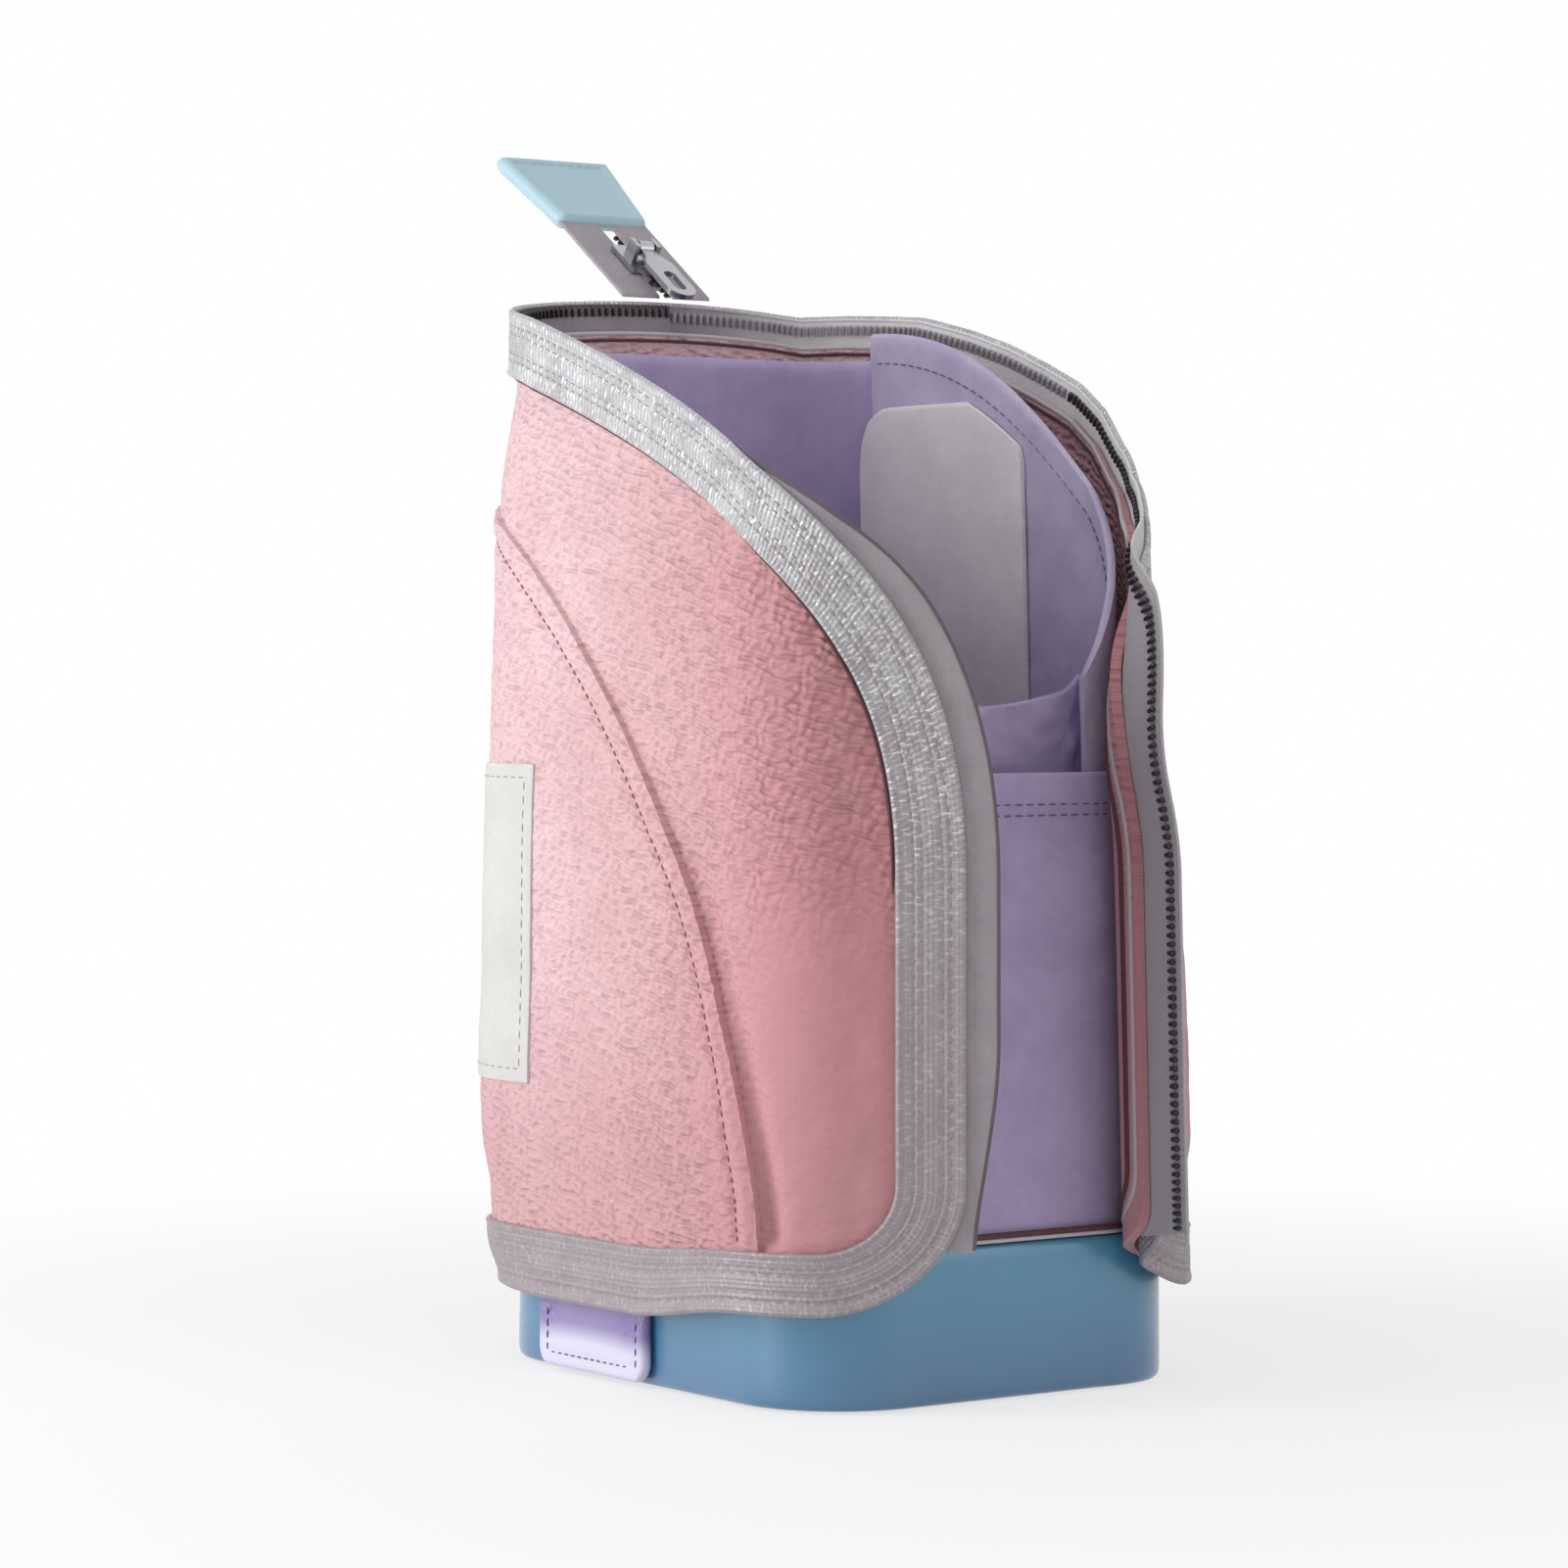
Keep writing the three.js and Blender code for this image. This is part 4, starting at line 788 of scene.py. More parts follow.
# A lit copy of the zip tape for the back: painted light makes it white along the rim's top, with painted
# shade lower down and near the middle plane, on the wing.
TAPE_BACK_LIT = woven("zip_tape_back_painted_light", 0xF0EFF0, 0xE2E0E2, 0.7, 0.62, 0.05, patch=9,
                    below=(0xCCC8CB, 0.13, 0.175), start=(0x9F979E, 0.002, 0.04))
print(len(bpy.data.materials), "woven cloths")

# %% [markdown]
# ### The pink shell cloth
#
# The shell is crinkled, washed polyester. Its crinkle is a field of small puffs, about
# 3.2 by 1.25 mm, with creases between them that slant up towards the open end. The puffs
# are crisp on the flap, finer and softer round the spine, and pressed flat low on the wing.
# A Voronoi pattern on stretched, sheared and warped cloth coordinates gives the creases,
# and two warped waves that cross give the puffs their rows. The creases are painted darker,
# as painted shade. The colour is painted paler on the spine's side, which faces the lamp, and
# darker on the wing, which lies in softer light: painted light and shade. It also turns
# darker towards the foot.

# %% Crinkled pink cloth
PINK_LIT_SPINE, PINK_FLAP, PINK_SHADED_WING = 0xEBCBCD, 0xE0B4B7, 0xCD8D92
PINK_DEEP, PINK_CREASE_SHADE = 0xCB9499, 0xA8626A
PUFF, FINE_PUFF, SLANT = (3.2, 1.25), (1.9, 1.0), 0.3


def crinkled_cloth():
    """Pink crinkled polyester: matt, puffed between fine creases."""
    m = Maker("pink_crinkled_polyester", 0.72, **{"Sheen Weight": 0.2, "Sheen Roughness": 0.45})
    where = m.cloth()
    x, y, _ = m.split(where)
    along = m.maths("ABSOLUTE", x)
    warp = m.noise(where, 7.0, 2.0)
    sway = m.noise(where, 5.0, 1.0)

    def puffs(wide, tall):
        """Distance from the middles of a field of puffs, their size in millimetres."""
        u = m.minus(m.times(along, per_mm(wide)), m.times(y, per_mm(tall / SLANT)))
        u = m.plus(u, m.times(warp, 1.6))
        v = m.plus(m.times(y, per_mm(tall)), m.times(sway, 1.4))
        inputs = {"Vector": m.join(u, v), "Scale": 1.0, "Smoothness": 0.35, "Randomness": 0.85}
        made = m.node("ShaderNodeTexVoronoi", inputs, feature="SMOOTH_F1", voronoi_dimensions="2D")
        return made.outputs["Distance"]

    coarse, fine = puffs(*PUFF), puffs(*FINE_PUFF)
    spine_side = FLAP_START * MM
    crisp = m.span(along, spine_side, spine_side + 0.055, 0.0, 1.0, True)
    pressed = m.times(m.span(along, spine_side + 0.062, spine_side + 0.084, 0.0, 0.8, True),
                      m.span(y, 0.108, 0.076, 0.0, 1.0, True))
    strength = m.times(m.minus(1.0, pressed), m.span(crisp, 0.0, 1.0, 0.75, 1.0))
    mixed = m.plus(m.times(coarse, crisp), m.times(fine, m.minus(1.0, crisp)))
    slant = m.plus(y, m.times(along, SLANT))
    across = m.minus(along, m.times(y, 0.4))
    rows = m.wave(m.plus(slant, m.times(warp, 0.003)), 1.8)
    dents = m.wave(m.plus(across, m.times(sway, 0.005)), 2.5)
    quilt = m.times(m.plus(rows, m.times(dents, 0.4)), 0.2)
    height = m.minus(1.0, m.maths("POWER", mixed, 1.6))
    height = m.times(m.plus(m.times(height, 0.7), quilt), strength)
    weave = m.times(m.wave(x, 0.5), m.wave(y, 0.5))
    slow = m.noise(where, 26, 3.0, 0.6)

    # Painted light and shade: paler on the spine's side, which faces the lamp, darker on the wing, which lies
    # in softer light.
    light = m.mix(crisp, colour(PINK_LIT_SPINE), colour(PINK_FLAP))
    far = m.span(along, spine_side + 0.035, spine_side + 0.10, 0.0, 1.0, True)
    base = m.mix(far, light, colour(PINK_SHADED_WING))
    base = m.mix(m.span(slow, 0.35, 0.65, 0.0, 0.3), base, colour(PINK_DEEP))
    base = m.mix(m.span(y, 0.085, 0.035, 0.0, 0.6, True), base, colour(PINK_DEEP))
    # Painted shade: the creases between the puffs are coloured darker.
    low = m.minus(m.span(mixed, 0.35, 0.75), m.times(quilt, 1.6), clamp=True)
    crease_shade = m.times(low, m.times(strength, 0.3))
    m.paint(m.mix(crease_shade, base, colour(PINK_CREASE_SHADE)))
    m.bump((weave, 0.02), (height, 0.85))
    return m.material


PINK = crinkled_cloth()
print(f"crinkle puffs are {PUFF[0]} by {PUFF[1]} mm")

# %% [markdown]
# ### Webbing, coated cloth, nylon, metal and thread
#
# The webbing is a twill binding woven with a silvery yarn: ribs run along it and short strokes
# cross it. Its colour is painted lighter high up and darker low down, as painted light and
# shade; the strokes' dips carry painted shade, and single threads glint with painted highlights.
# The base and the tabs are polyurethane-coated cloth, smooth with a soft shine. The zip's teeth
# are moulded nylon, its slider cast and plated.

# %% Webbing and coated cloths
def silver_webbing():
    """Twill binding with a silvery yarn: ribs along, strokes across; painted light high up, painted shade in
    the strokes' dips and painted highlights on single threads.
    """
    m = Maker("silver_webbing", 0.5, **{"Sheen Weight": 0.3, "Sheen Roughness": 0.35})
    m.shader.inputs["Metallic"].default_value = 0.25
    where = m.cloth()
    x, y, _ = m.split(where)
    height = m.split(m.spot())[2]
    upper_part = m.span(height, 0.07, 0.13, 0.25, 1.0, True)
    strokes = m.wave(m.plus(x, m.times(y, 0.35)), 1.15)
    ribs = m.wave(y, 0.9)
    stretched = m.join(m.times(x, 2.2), m.times(y, 0.7))
    # Painted highlights: single threads glint white, mostly high up.
    painted_glint = m.span(m.noise(stretched, 1.3, 1.0), 0.56, 0.68)
    painted_glint = m.times(painted_glint, upper_part)
    patch = m.span(m.noise(where, 9.0, 3.0, 0.6), 0.35, 0.65, 0.0, 0.5)
    # Painted light and shade: the webbing is lighter high up and darker low down.
    base = m.mix(m.span(height, 0.05, 0.19, 0.0, 1.0, True), colour(0xA2989C), colour(0xC8CACC))
    base = m.mix(patch, base, colour(0x91878C))
    # Painted shade in the dips between the strokes.
    dip_shade = m.times(m.span(strokes, 0.1, -0.9), m.times(upper_part, 0.35))
    base = m.mix(dip_shade, base, colour(0x8F878C))
    m.paint(m.mix(m.times(painted_glint, 0.7), base, colour(0xF6F6F6)))
    m.rough(m.span(painted_glint, 0.0, 1.0, 0.55, 0.28))
    m.bump((m.times(strokes, upper_part), 0.07), (ribs, 0.04), (m.noise(where, 1.6), 0.12))
    return m.material


def coated(name, light, dark, roughness, coat, low=0.0, high=0.028, depth=0.05):
    """Polyurethane-coated cloth: an even, smooth skin with a soft shine over faint waves.
    The colour turns with height from the foot's colour to the top's; on the pull tab the darker top is
    painted shadow from the shell's foot."""
    m = Maker(name, roughness, **{"Coat Weight": coat, "Coat Roughness": 0.24})
    where = m.spot()
    shade = m.span(m.split(where)[2], low, high, 0.0, 1.0, True)
    slow = m.span(m.noise(where, 30), 0.35, 0.65, -0.12, 0.12)
    m.paint(m.mix(m.plus(shade, slow, clamp=True), colour(dark), colour(light)))
    m.rough(m.span(m.noise(where, 0.8), 0.3, 0.7, roughness - 0.04, roughness + 0.05))
    m.bump((m.noise(where, 0.5), 0.012), (m.noise(where, 12), depth))
    return m.material


WEBBING = silver_webbing()
BLUE = coated("base_blue_coated_cloth", 0x498FB0, 0x4A7AA2, 0.42, 1.0)
LIGHT_BLUE = coated("end_tab_pale_blue_coated_cloth", 0xAFD0DC, 0xA3C6D4, 0.42, 0.2, 0.19, 0.23)
# The pull tab's top is painted darker: painted shadow from the shell's foot over it.
TAB = coated("pull_tab_lavender_coated_cloth", 0x8A7DB2, 0xDCD9EE, 0.4, 0.3, 0.005, 0.0098)
print("webbing and coated cloths made")

# %% Nylon, metal, thread and board
def plain(name, code, roughness=0.5, metallic=0.0, grain=0.6, depth=0.02, spread=0.1):
    """One colour, broken up by a fine grain in shade, roughness and height."""
    m = Maker(name, roughness)
    m.shader.inputs["Metallic"].default_value = metallic
    fine = m.noise(m.spot(), grain, 3.0)
    m.paint(m.mix(fine, colour(code), [c * 0.82 for c in colour(code)[:3]] + [1.0]))
    m.rough(m.span(fine, 0.0, 1.0, max(0.05, roughness - spread), roughness + spread))
    m.bump((fine, depth))
    return m.material


COIL = plain("zip_teeth_nylon", 0x2A2629, 0.38, grain=0.5)
# A paler copy of the teeth: painted light for the back's lit top rim.
COIL_LIT = plain("zip_teeth_nylon_painted_light", 0xA6A2A5, 0.38, grain=0.5)
METAL = plain("slider_plated_zinc", 0xB9B9BE, 0.25, metallic=0.95, grain=0.4, depth=0.01)
THREAD_SILVER = plain("silver_thread", 0xA79EA3, 0.6, grain=0.25, depth=0.04)
THREAD_ROSE = plain("rose_thread", 0x9C5560, 0.75, grain=0.25, depth=0.04)
THREAD_PURPLE = plain("purple_thread", 0x75658C, 0.75, grain=0.25, depth=0.04)
THREAD_GREEN = plain("grey_green_thread", 0xA7B1A6, 0.75, grain=0.25, depth=0.04)
BOARD = plain("stiffener_greyboard", 0x6E6A64, 0.9, grain=1.0, depth=0.05)
# Maroon cord; its thin cords along the webbing's and the lining's edges are painted shadow lines.
MAROON_CORD_AND_SHADE = plain("maroon_cord_and_painted_shadow", 0x5E3A41, 0.8, grain=0.6, depth=0.04)
TAPE_EDGE = plain("zip_tape_selvedge", 0x6E6468, 0.8, grain=0.4, depth=0.04)
PALE_CORD = plain("pale_seam_cord", 0xCFC6CB, 0.6, grain=0.5, depth=0.04)
print(len(bpy.data.materials), "materials")

# %% [markdown]
# ## The base
#
# The base is a low tray of coated cloth: one loop with a softly rounded foot and a turned
# top edge. Under the shell's foot a maroon cord and a dark turned edge show round the end
# pocket. The sole, the stiffener and the floor cloth are flat sheets with soft edges.

# %% Base tray
CORE_START = SPINE_LINE + SPINE_RADIUS * math.pi / 2
CORE_END = CORE_START + SIDE_LINE + END_RADIUS * math.pi / 2
HALF_ROUND = CORE_END + END_LINE


def on_base(s, z, off):
    """Points beside the base and the inner walls, whose plan turns a full right angle."""
    s = np.where(s > HALF_ROUND, s - 2 * HALF_ROUND, s)
    return place(s, z, off, 0.0, math.pi / 2)


def upright(s, z, off):
    """Points on the base, which doesn't lean."""
    return on_base(s, z, off + LEAN * np.asarray(z, float) / SPINE_TOP)


foot = [(-3.0, 0.0), (-1.5, 0.0), (-0.8, 0.15), (-0.3, 0.6), (-0.08, 1.3), (0.0, 2.4), (0.0, 4.6)]
rise = [(0.05 * math.sin(t * math.pi), 4.6 + 22.4 * t) for t in np.linspace(0, 1, 14)[1:]]
turned = [(-0.15, 27.6), (-0.6, 28.0), (-1.2, 28.0), (-1.7, 27.6), (-1.8, 27.0)]
inside = [(-1.8, 16.0), (-1.8, 5.0), (-2.6, 2.2), (-3.2, 1.4)]
profile = np.array(foot + rise + turned + inside)
ring_s = np.linspace(-HALF_ROUND, HALF_ROUND, 400, endpoint=False)
ring_S = np.broadcast_to(ring_s[:, None], (len(ring_s), len(profile)))
ring_Z = np.broadcast_to(profile[:, 1], ring_S.shape)
ring_O = profile[:, 0] + noise(ring_S, ring_Z, 45, 3, 2) * 0.3 * ramp(ring_Z, 4, 12) * ramp(ring_Z, 29, 22)
back_corner = (-ring_S - SPINE_LINE - SPINE_RADIUS * math.pi / 2 - SIDE_LINE) / END_RADIUS
ring_O = ring_O + 2.4 * np.sin(2 * np.clip(back_corner, 0, math.pi / 2)) ** 1.4
points = upright(ring_S, ring_Z, ring_O)
index = np.arange(ring_S.size).reshape(ring_S.shape)
uv = to_cloth(ring_S, ring_Z)
tray = make_object("base_tray", points, [quads(index, True, True)], "pouch_body", uv)
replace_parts(dress(tray, BLUE), "base_band")


FLOOR_INSET = -3.5
FLOOR_SHARES = np.array([0.3, 0.6, 0.85, 0.95, 0.99, 1.0])


def fan(ring, centre, backwards=False):
    """Triangles from a ring of vertex numbers to a middle one."""
    faces = np.stack([ring, np.roll(ring, -1), np.full(len(ring), centre)], -1)
    return faces[:, ::-1] if backwards else faces


def floor_layer(name, node, low, high, material):
    """A flat bottom layer: rings from its middle out to the plan and back, edges softened."""
    s = np.linspace(-HALF_ROUND, HALF_ROUND, 180, endpoint=False)
    edge = upright(s, 0 * s, np.full(len(s), FLOOR_INSET))
    rings = []
    for z, soft, shares in ((low, 0.2, FLOOR_SHARES), (high, -0.2, FLOOR_SHARES[::-1])):
        for share in shares:
            ring = edge * share
            ring[:, 2] = (z + (soft if share == 1 else 0)) * MM
            rings.append(ring)
    grid = np.array(rings)
    index = np.arange(grid[..., 0].size).reshape(grid.shape[:2])
    verts = np.vstack([grid.reshape(-1, 3), [[0, 0, low * MM], [0, 0, high * MM]]])
    faces = [quads(index, False, True), fan(index[0], len(verts) - 2), fan(index[-1], len(verts) - 1, True)]
    obj = make_object(name, verts, faces, "pouch_body", verts[:, :2])
    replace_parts(dress(obj, material), node)
    return obj


sole = floor_layer("base_sole", "base_bottom", 0.0, 1.4, BLUE)
floor_layer("base_stiffener", "base_board", 1.6, 3.6, BOARD)
carpet = floor_layer("floor_cloth", "floor_lining", 3.8, 4.6, PURPLE)
print("base is", round(2 * HALF_ROUND), "mm round")

# %% [markdown]
# ## The inner walls
#
# The core is a sleeve of lining cloth that stands on the base: a padded wall along the
# spine, one wall along each side with a curved top, and an end wall that sags between its
# corners, behind a pocket with a straight hem.

# %% Walls of lining cloth
CORE_OUT, CORE_IN, CORE_LOW = -2.1, -3.3, 131.0
PEAKS = {1: 188.0, -1: 199.0}
ON_FLOOR, ON_BASE = 4.8, 28.3


def core_top(side):
    """Top edge of a side wall: level by the spine, then one curve down to the end wall."""
    span, peak = CORE_END - CORE_START, PEAKS[side]
    return bezier(np.linspace(0, 1, 60)[:, None], (CORE_START, peak), (CORE_START + span * 0.44, peak),
                  (CORE_START + span * 0.68, CORE_LOW + (peak - CORE_LOW) * 0.5), (CORE_END, CORE_LOW))


def wall_sheet(name, node, s, low, high, inner, outer, mat, seed, side=1, hem=(0.35, 7.0), wave=0.35,
               extra=None):
    """An upright cloth wall between two stand-offs: round top, a thicker hem of a height and
    slow waves that die out at its ends and its foot."""
    v = np.concatenate([[0, 0.004], np.linspace(0.012, 0.988, 90), [0.996, 1.0]])
    S = np.broadcast_to(s[:, None], (len(s), len(v)))
    high = np.broadcast_to(high, s.shape)[:, None]
    Z = low + (high - low) * v
    down = high - Z
    mid, half = (inner + outer) / 2, (outer - inner) / 2
    thick = half + hem[0] * 0.5 * ramp(down, hem[1] + 0.4, hem[1] - 0.4)
    thick = thick * soft_edge(np.minimum(down, Z - low), half)
    still = ramp(S - s.min(), 0, 6) * ramp(s.max() - S, 0, 6) * ramp(Z - low, 0, 14)
    shift = noise(S, Z, 30, seed, 3) * wave * still
    if extra:
        shift = shift + extra(S, Z) * still
    outer_points = on_base(S * side, Z, mid + thick + shift)
    inner_points = on_base(S * side, Z, mid - thick + shift)
    uv = to_cloth(S, Z)
    obj = slab(name, inner_points, outer_points, "pouch_body", uv)
    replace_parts(dress(obj, mat), node)
    return obj, uv


for side, word in WORDS.items():
    s = np.linspace(CORE_START, CORE_END, 110)
    high = np.interp(s, *core_top(side).T)
    obj, uv = wall_sheet(f"core_{word}_sheet", f"core_{word}_wall", s, ON_FLOOR, high, CORE_IN, CORE_OUT,
                         LAVENDER, 5 + side, side)
    as_cloth(obj)
    hem = np.stack([s[2:-2], high[2:-2] - 6.0], -1)
    stitches(f"core_{word}_stitches", hem, CORE_IN - 0.24, THREAD_PURPLE, "pouch_body",
             side, radius=0.18, wall=on_base)
print("side walls peak at", PEAKS, "mm")

# %% Padded spine wall
s = np.linspace(-CORE_START + 0.3, CORE_START - 0.3, 120)
obj, uv = wall_sheet("core_spine_sheet", "core_spine_wall", s, ON_BASE, 194.0, -1.5, 2.5, PURPLE,
                     9, hem=(0.0, 7.0), wave=0.25)
print("spine wall made")

# %% End wall and its pocket
END_REACH, POCKET_REACH = 34.0, 29.0
s = np.linspace(HALF_ROUND - END_REACH, HALF_ROUND + END_REACH, 130)
sag = CORE_LOW - 6 * np.cos(np.clip(np.abs(s - HALF_ROUND) / END_REACH, 0, 1) * math.pi / 2)


def crumpled(s, z):
    """Soft dents just below the sagging top edge, where the cloth has no stiffener."""
    return ramp(z, 106, 114) * ramp(z, 131, 122) * (np.abs(noise(s, z * 2.2, 9, 21, 3)) * 1.6 - 0.5)


obj, uv = wall_sheet("core_end_sheet", "core_end_wall", s, ON_FLOOR, sag, -9.3, -8.1, PURPLE,
                     11, hem=(0.2, 6.5), extra=crumpled)
as_cloth(obj)
s = np.linspace(HALF_ROUND - POCKET_REACH, HALF_ROUND + POCKET_REACH, 120)
obj, uv = wall_sheet("end_pocket_sheet", "end_pocket", s, ON_BASE, 113.0, -1.6, -0.4, PURPLE,
                     13, hem=(0.3, 7.2), wave=0.5)
as_cloth(obj)
for k, z in enumerate((105.2, 107.2)):
    hem = np.stack([s[3:-3], np.full(len(s) - 6, z)], -1)
    stitches(f"end_pocket_stitches_{k}", hem, -0.32, THREAD_PURPLE, "pouch_body",
             wall=on_base)
print("end wall and pocket made")

# %% Cords round the pocket's foot
ring = np.linspace(HALF_ROUND - 44, HALF_ROUND + 44, 160)
for name, z, off, radius, mat in (("foot_cord_maroon", 29.6, -0.1, 0.55, MAROON_CORD_AND_SHADE),
                                  ("foot_cord_pale", 28.7, 0.0, 0.4, PALE_CORD)):
    line = np.stack([ring, np.full(len(ring), z)], -1)
    outs = np.tile([[0.0, 1.0]], (len(ring), 1))
    cord = sweep(name, line, outs, round_section(0, off, radius), "pouch_body", 1, upright)
    dress(cord, mat)
print("foot cords laid")

# %% Slip pocket inside the back wall
SLIP_TOP, SLIP_ROUND = 184, 12
from_s, to_s = (CORE_START + d + HALF_LENGTH - SPINE_RADIUS for d in (-40, 14))
s = np.linspace(from_s, to_s, 70)
over = np.maximum(np.maximum(from_s + SLIP_ROUND - s, s - to_s + SLIP_ROUND), 0)
high = SLIP_TOP - SLIP_ROUND + np.sqrt(np.clip(SLIP_ROUND**2 - over**2, 0, None))
high = np.minimum(high, np.interp(s, *core_top(-1).T) - 8.5)
obj, uv = wall_sheet("slip_pocket_sheet", "slip_pocket", s, 96.0, high, -4.4, -3.5, GREY,
                     15, side=-1, hem=(0.15, 4.0), wave=0.12)
as_cloth(obj)
print("inner walls made")

# %% [markdown]
# ## The shell
#
# The pink shell is two padded sheets on each side: one from the middle of the spine into
# the flap, and one from the flap into its wing. A second layer of the same cloth is lapped
# over the lower part, and its folded, stitched edge runs in one long curve.

# %% Baking pieces in place
MIDDLE = FLAP_START + 45.0


def bend(obj, side, part):
    """Bakes a piece's placement into its mesh."""
    if part == "flap":
        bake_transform(obj)
    else:
        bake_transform(obj)
    return obj


def part_nodes(side, part, *names):
    """Nodes of one side's piece; on the flap, the front's piece covers the spine's too."""
    words = [WORDS[side]] + ["spine"] * (side > 0) if part == "flap" else [f"{WORDS[side]}_wing"]
    return [f"{word}_{name}" for word in words for name in names]


# %% Padded shell sheets
TOP_INSET = 7.0 - 2.0 * ramp(RIM_SHARE, 0.3, 0.7)
PANEL_LINE = RIM + RIM_OUT * (2.0 * ramp(RIM[:, 1], 45, 25) - TOP_INSET)[:, None]


def shell_sheet(name, side, s0, s1, part, columns, rows=240):
    """A padded sheet from one distance to another, between the rim's two branches."""
    s = np.linspace(s0, s1, columns)
    low, high = (branch(PANEL_LINE, s, top)[:, None] for top in (False, True))
    S = np.broadcast_to((s * side)[:, None], (columns, rows))
    Z = low + (high - low) * np.linspace(0, 1, rows)
    outer = on_shell(S, Z, panel_face(S, Z))
    under = 0.12 * noise(S, Z, 16, 51, 2) * ramp(from_rim(S, Z), 8, 16)
    inner = on_shell(S, Z, LINING_IN + 0.08 + under)
    obj = slab(name, inner, outer, None, to_cloth(S, Z), linings=True)
    bend(dress(obj, PINK, LINING), side, part)
    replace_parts(obj, *part_nodes(side, part, "panel", "lining"))


for side, word in WORDS.items():
    shell_sheet(f"{word}_shell_sheet", side, 0.0, MIDDLE, "flap", 150)
    shell_sheet(f"{word}_wing_sheet", side, MIDDLE, FLAP_END - 5.2, "wing", 110)
print("shell sheets made")

# %% Lapped lower layer
LAP_FOOT = 16.5


def lap_sheet(side):
    """Lines from the foot up to the seam, closer together near the seam. The top edge is a
    fold, so the layer ends in half a round."""
    seam = even(SEAM[SEAM[:, 1] > LAP_FOOT + 1.5], 0.9)
    columns, rows = len(seam), 190
    start = np.stack([np.linspace(0, seam[-1, 0] - 0.2, columns), np.full(columns, LAP_FOOT)], -1)
    t = 1 - (1 - np.linspace(0, 1, rows)) ** 1.35
    grid = start[:, None] + (seam - start)[:, None] * t[None, :, None]
    S, Z = grid[..., 0] * side, grid[..., 1]
    edge = look_up(FROM_SEAM, S, Z)
    base = PANEL_FACE + bulge(S, Z) + waves(S, Z)
    rise = (lap_face(S, Z, edge) - base - 0.25) * soft_edge(edge, 0.9, 0)
    outer = on_shell(S, Z, base + 0.25 + rise)
    inner = on_shell(S, Z, base - 0.45)
    uv = to_cloth(S, Z)
    obj = slab(f"{WORDS[side]}_lap_sheet", inner, outer, None, uv, linings=True)
    bend(dress(obj, PINK, PINK), side, "flap")
    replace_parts(obj, *part_nodes(side, "flap", "overlay"))
    as_cloth(obj)


for side in (1, -1):
    lap_sheet(side)
print("lapped layers made")

# %% [markdown]
# ## Webbing, seam cords and tape
#
# The webbing is one band swept along the rim, with two pairs of stitch grooves and a ridge
# near its outer edge. A thin maroon cord along its inner edge is painted shadow, where the
# webbing stands over the pink cloth. Inside, a pale cord runs along the lining's edge, and a
# maroon cord beside it is painted shadow in the gap there. The zip's tape stands out from
# under the webbing and ends in a slanted cut near the foot.

# %% Webbing
WEB_WIDTH, WEB_IN, WEB_FACE = 12.6, 5.75, BINDING_OUT - 0.1
STITCH_LINES = (-2.8, -4.3, -8.0, -9.4)


def web_relief(x):
    """Height over the flat band: a lip at the inner edge, grooves under the stitches and a
    ridge near the outer edge."""
    lip = 0.3 * hump(x + WEB_WIDTH, 0.5, 0.35)
    grooves = sum(-0.26 * hump(x, line, 0.4) for line in STITCH_LINES)
    ridge = 0.16 * hump(x, -1.0, 0.5)
    return lip + grooves + ridge


def rim_part(a, b, part):
    """The rim's points and outward directions between two indices, and the part's name."""
    return RIM[a:b + 1], RIM_OUT[a:b + 1], part


TOP_MIDDLE, FOOT_MIDDLE = rim_index(MIDDLE, True), rim_index(MIDDLE, False)
PARTS = {"top": rim_part(0, TOP_MIDDLE, "flap"), "rim": rim_part(TOP_MIDDLE, FOOT_MIDDLE, "wing"),
         "foot": rim_part(FOOT_MIDDLE, len(RIM) - 1, "flap")}
WEB = band_section(-WEB_WIDTH, 0.0, WEB_IN, WEB_FACE, web_relief)
for side, word in WORDS.items():
    for where, (line, outs, part) in PARTS.items():
        obj = sweep(f"{word}_web_{where}", line, outs, WEB, None, side)
        bend(dress(obj, WEBBING), side, part)
        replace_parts(obj, *part_nodes(side, part, "binding" if where == "rim" else f"binding_{where}"))
print("webbing is", WEB_WIDTH, "mm wide")


# %% Cords along the seams
def seam_cord(name, side, across, off, radius, mat, until, over_lap=False):
    """A cord beside the webbing, from the spine to the height until. Over the lapped layer
    it rises with that, and it sinks under the panel where the webbing lies flat on it."""
    for key in ("top", "rim"):
        line, outs, part = PARTS[key]
        line, outs = line[line[:, 1] > until], outs[line[:, 1] > until]
        height = np.full(len(line), off)
        if over_lap:
            s, z = (line + outs * across).T
            height = height + LAP_THICK * ramp(seam_gap(s, z), -0.6, 0.4) - ramp(z, 125, 80)
        section = round_section(across, height, radius)
        obj = sweep(f"{WORDS[side]}_{name}_{key}", line, outs, section, None, side)
        bend(dress(obj, mat), side, part)


EDGE_SHADOW_END, LINING_CORD_END = 74, {1: 37, -1: 0}
for side in WORDS:
    # Painted shadow: a thin maroon cord along the webbing's inner edge, where the webbing stands over the
    # cloth.
    seam_cord("edge_shadow_line", side, -WEB_WIDTH - 0.35, 5.35, 0.42, MAROON_CORD_AND_SHADE, EDGE_SHADOW_END, over_lap=True)
    seam_cord("lining_cord", side, -6.6, 3.2, 0.5, PALE_CORD, LINING_CORD_END[side])
    # Painted shadow: a maroon cord in the gap beside the pale lining cord.
    seam_cord("lining_shadow_line", side, -7.9, 2.75, 0.35, MAROON_CORD_AND_SHADE, LINING_CORD_END[side])
print("seam cords laid")

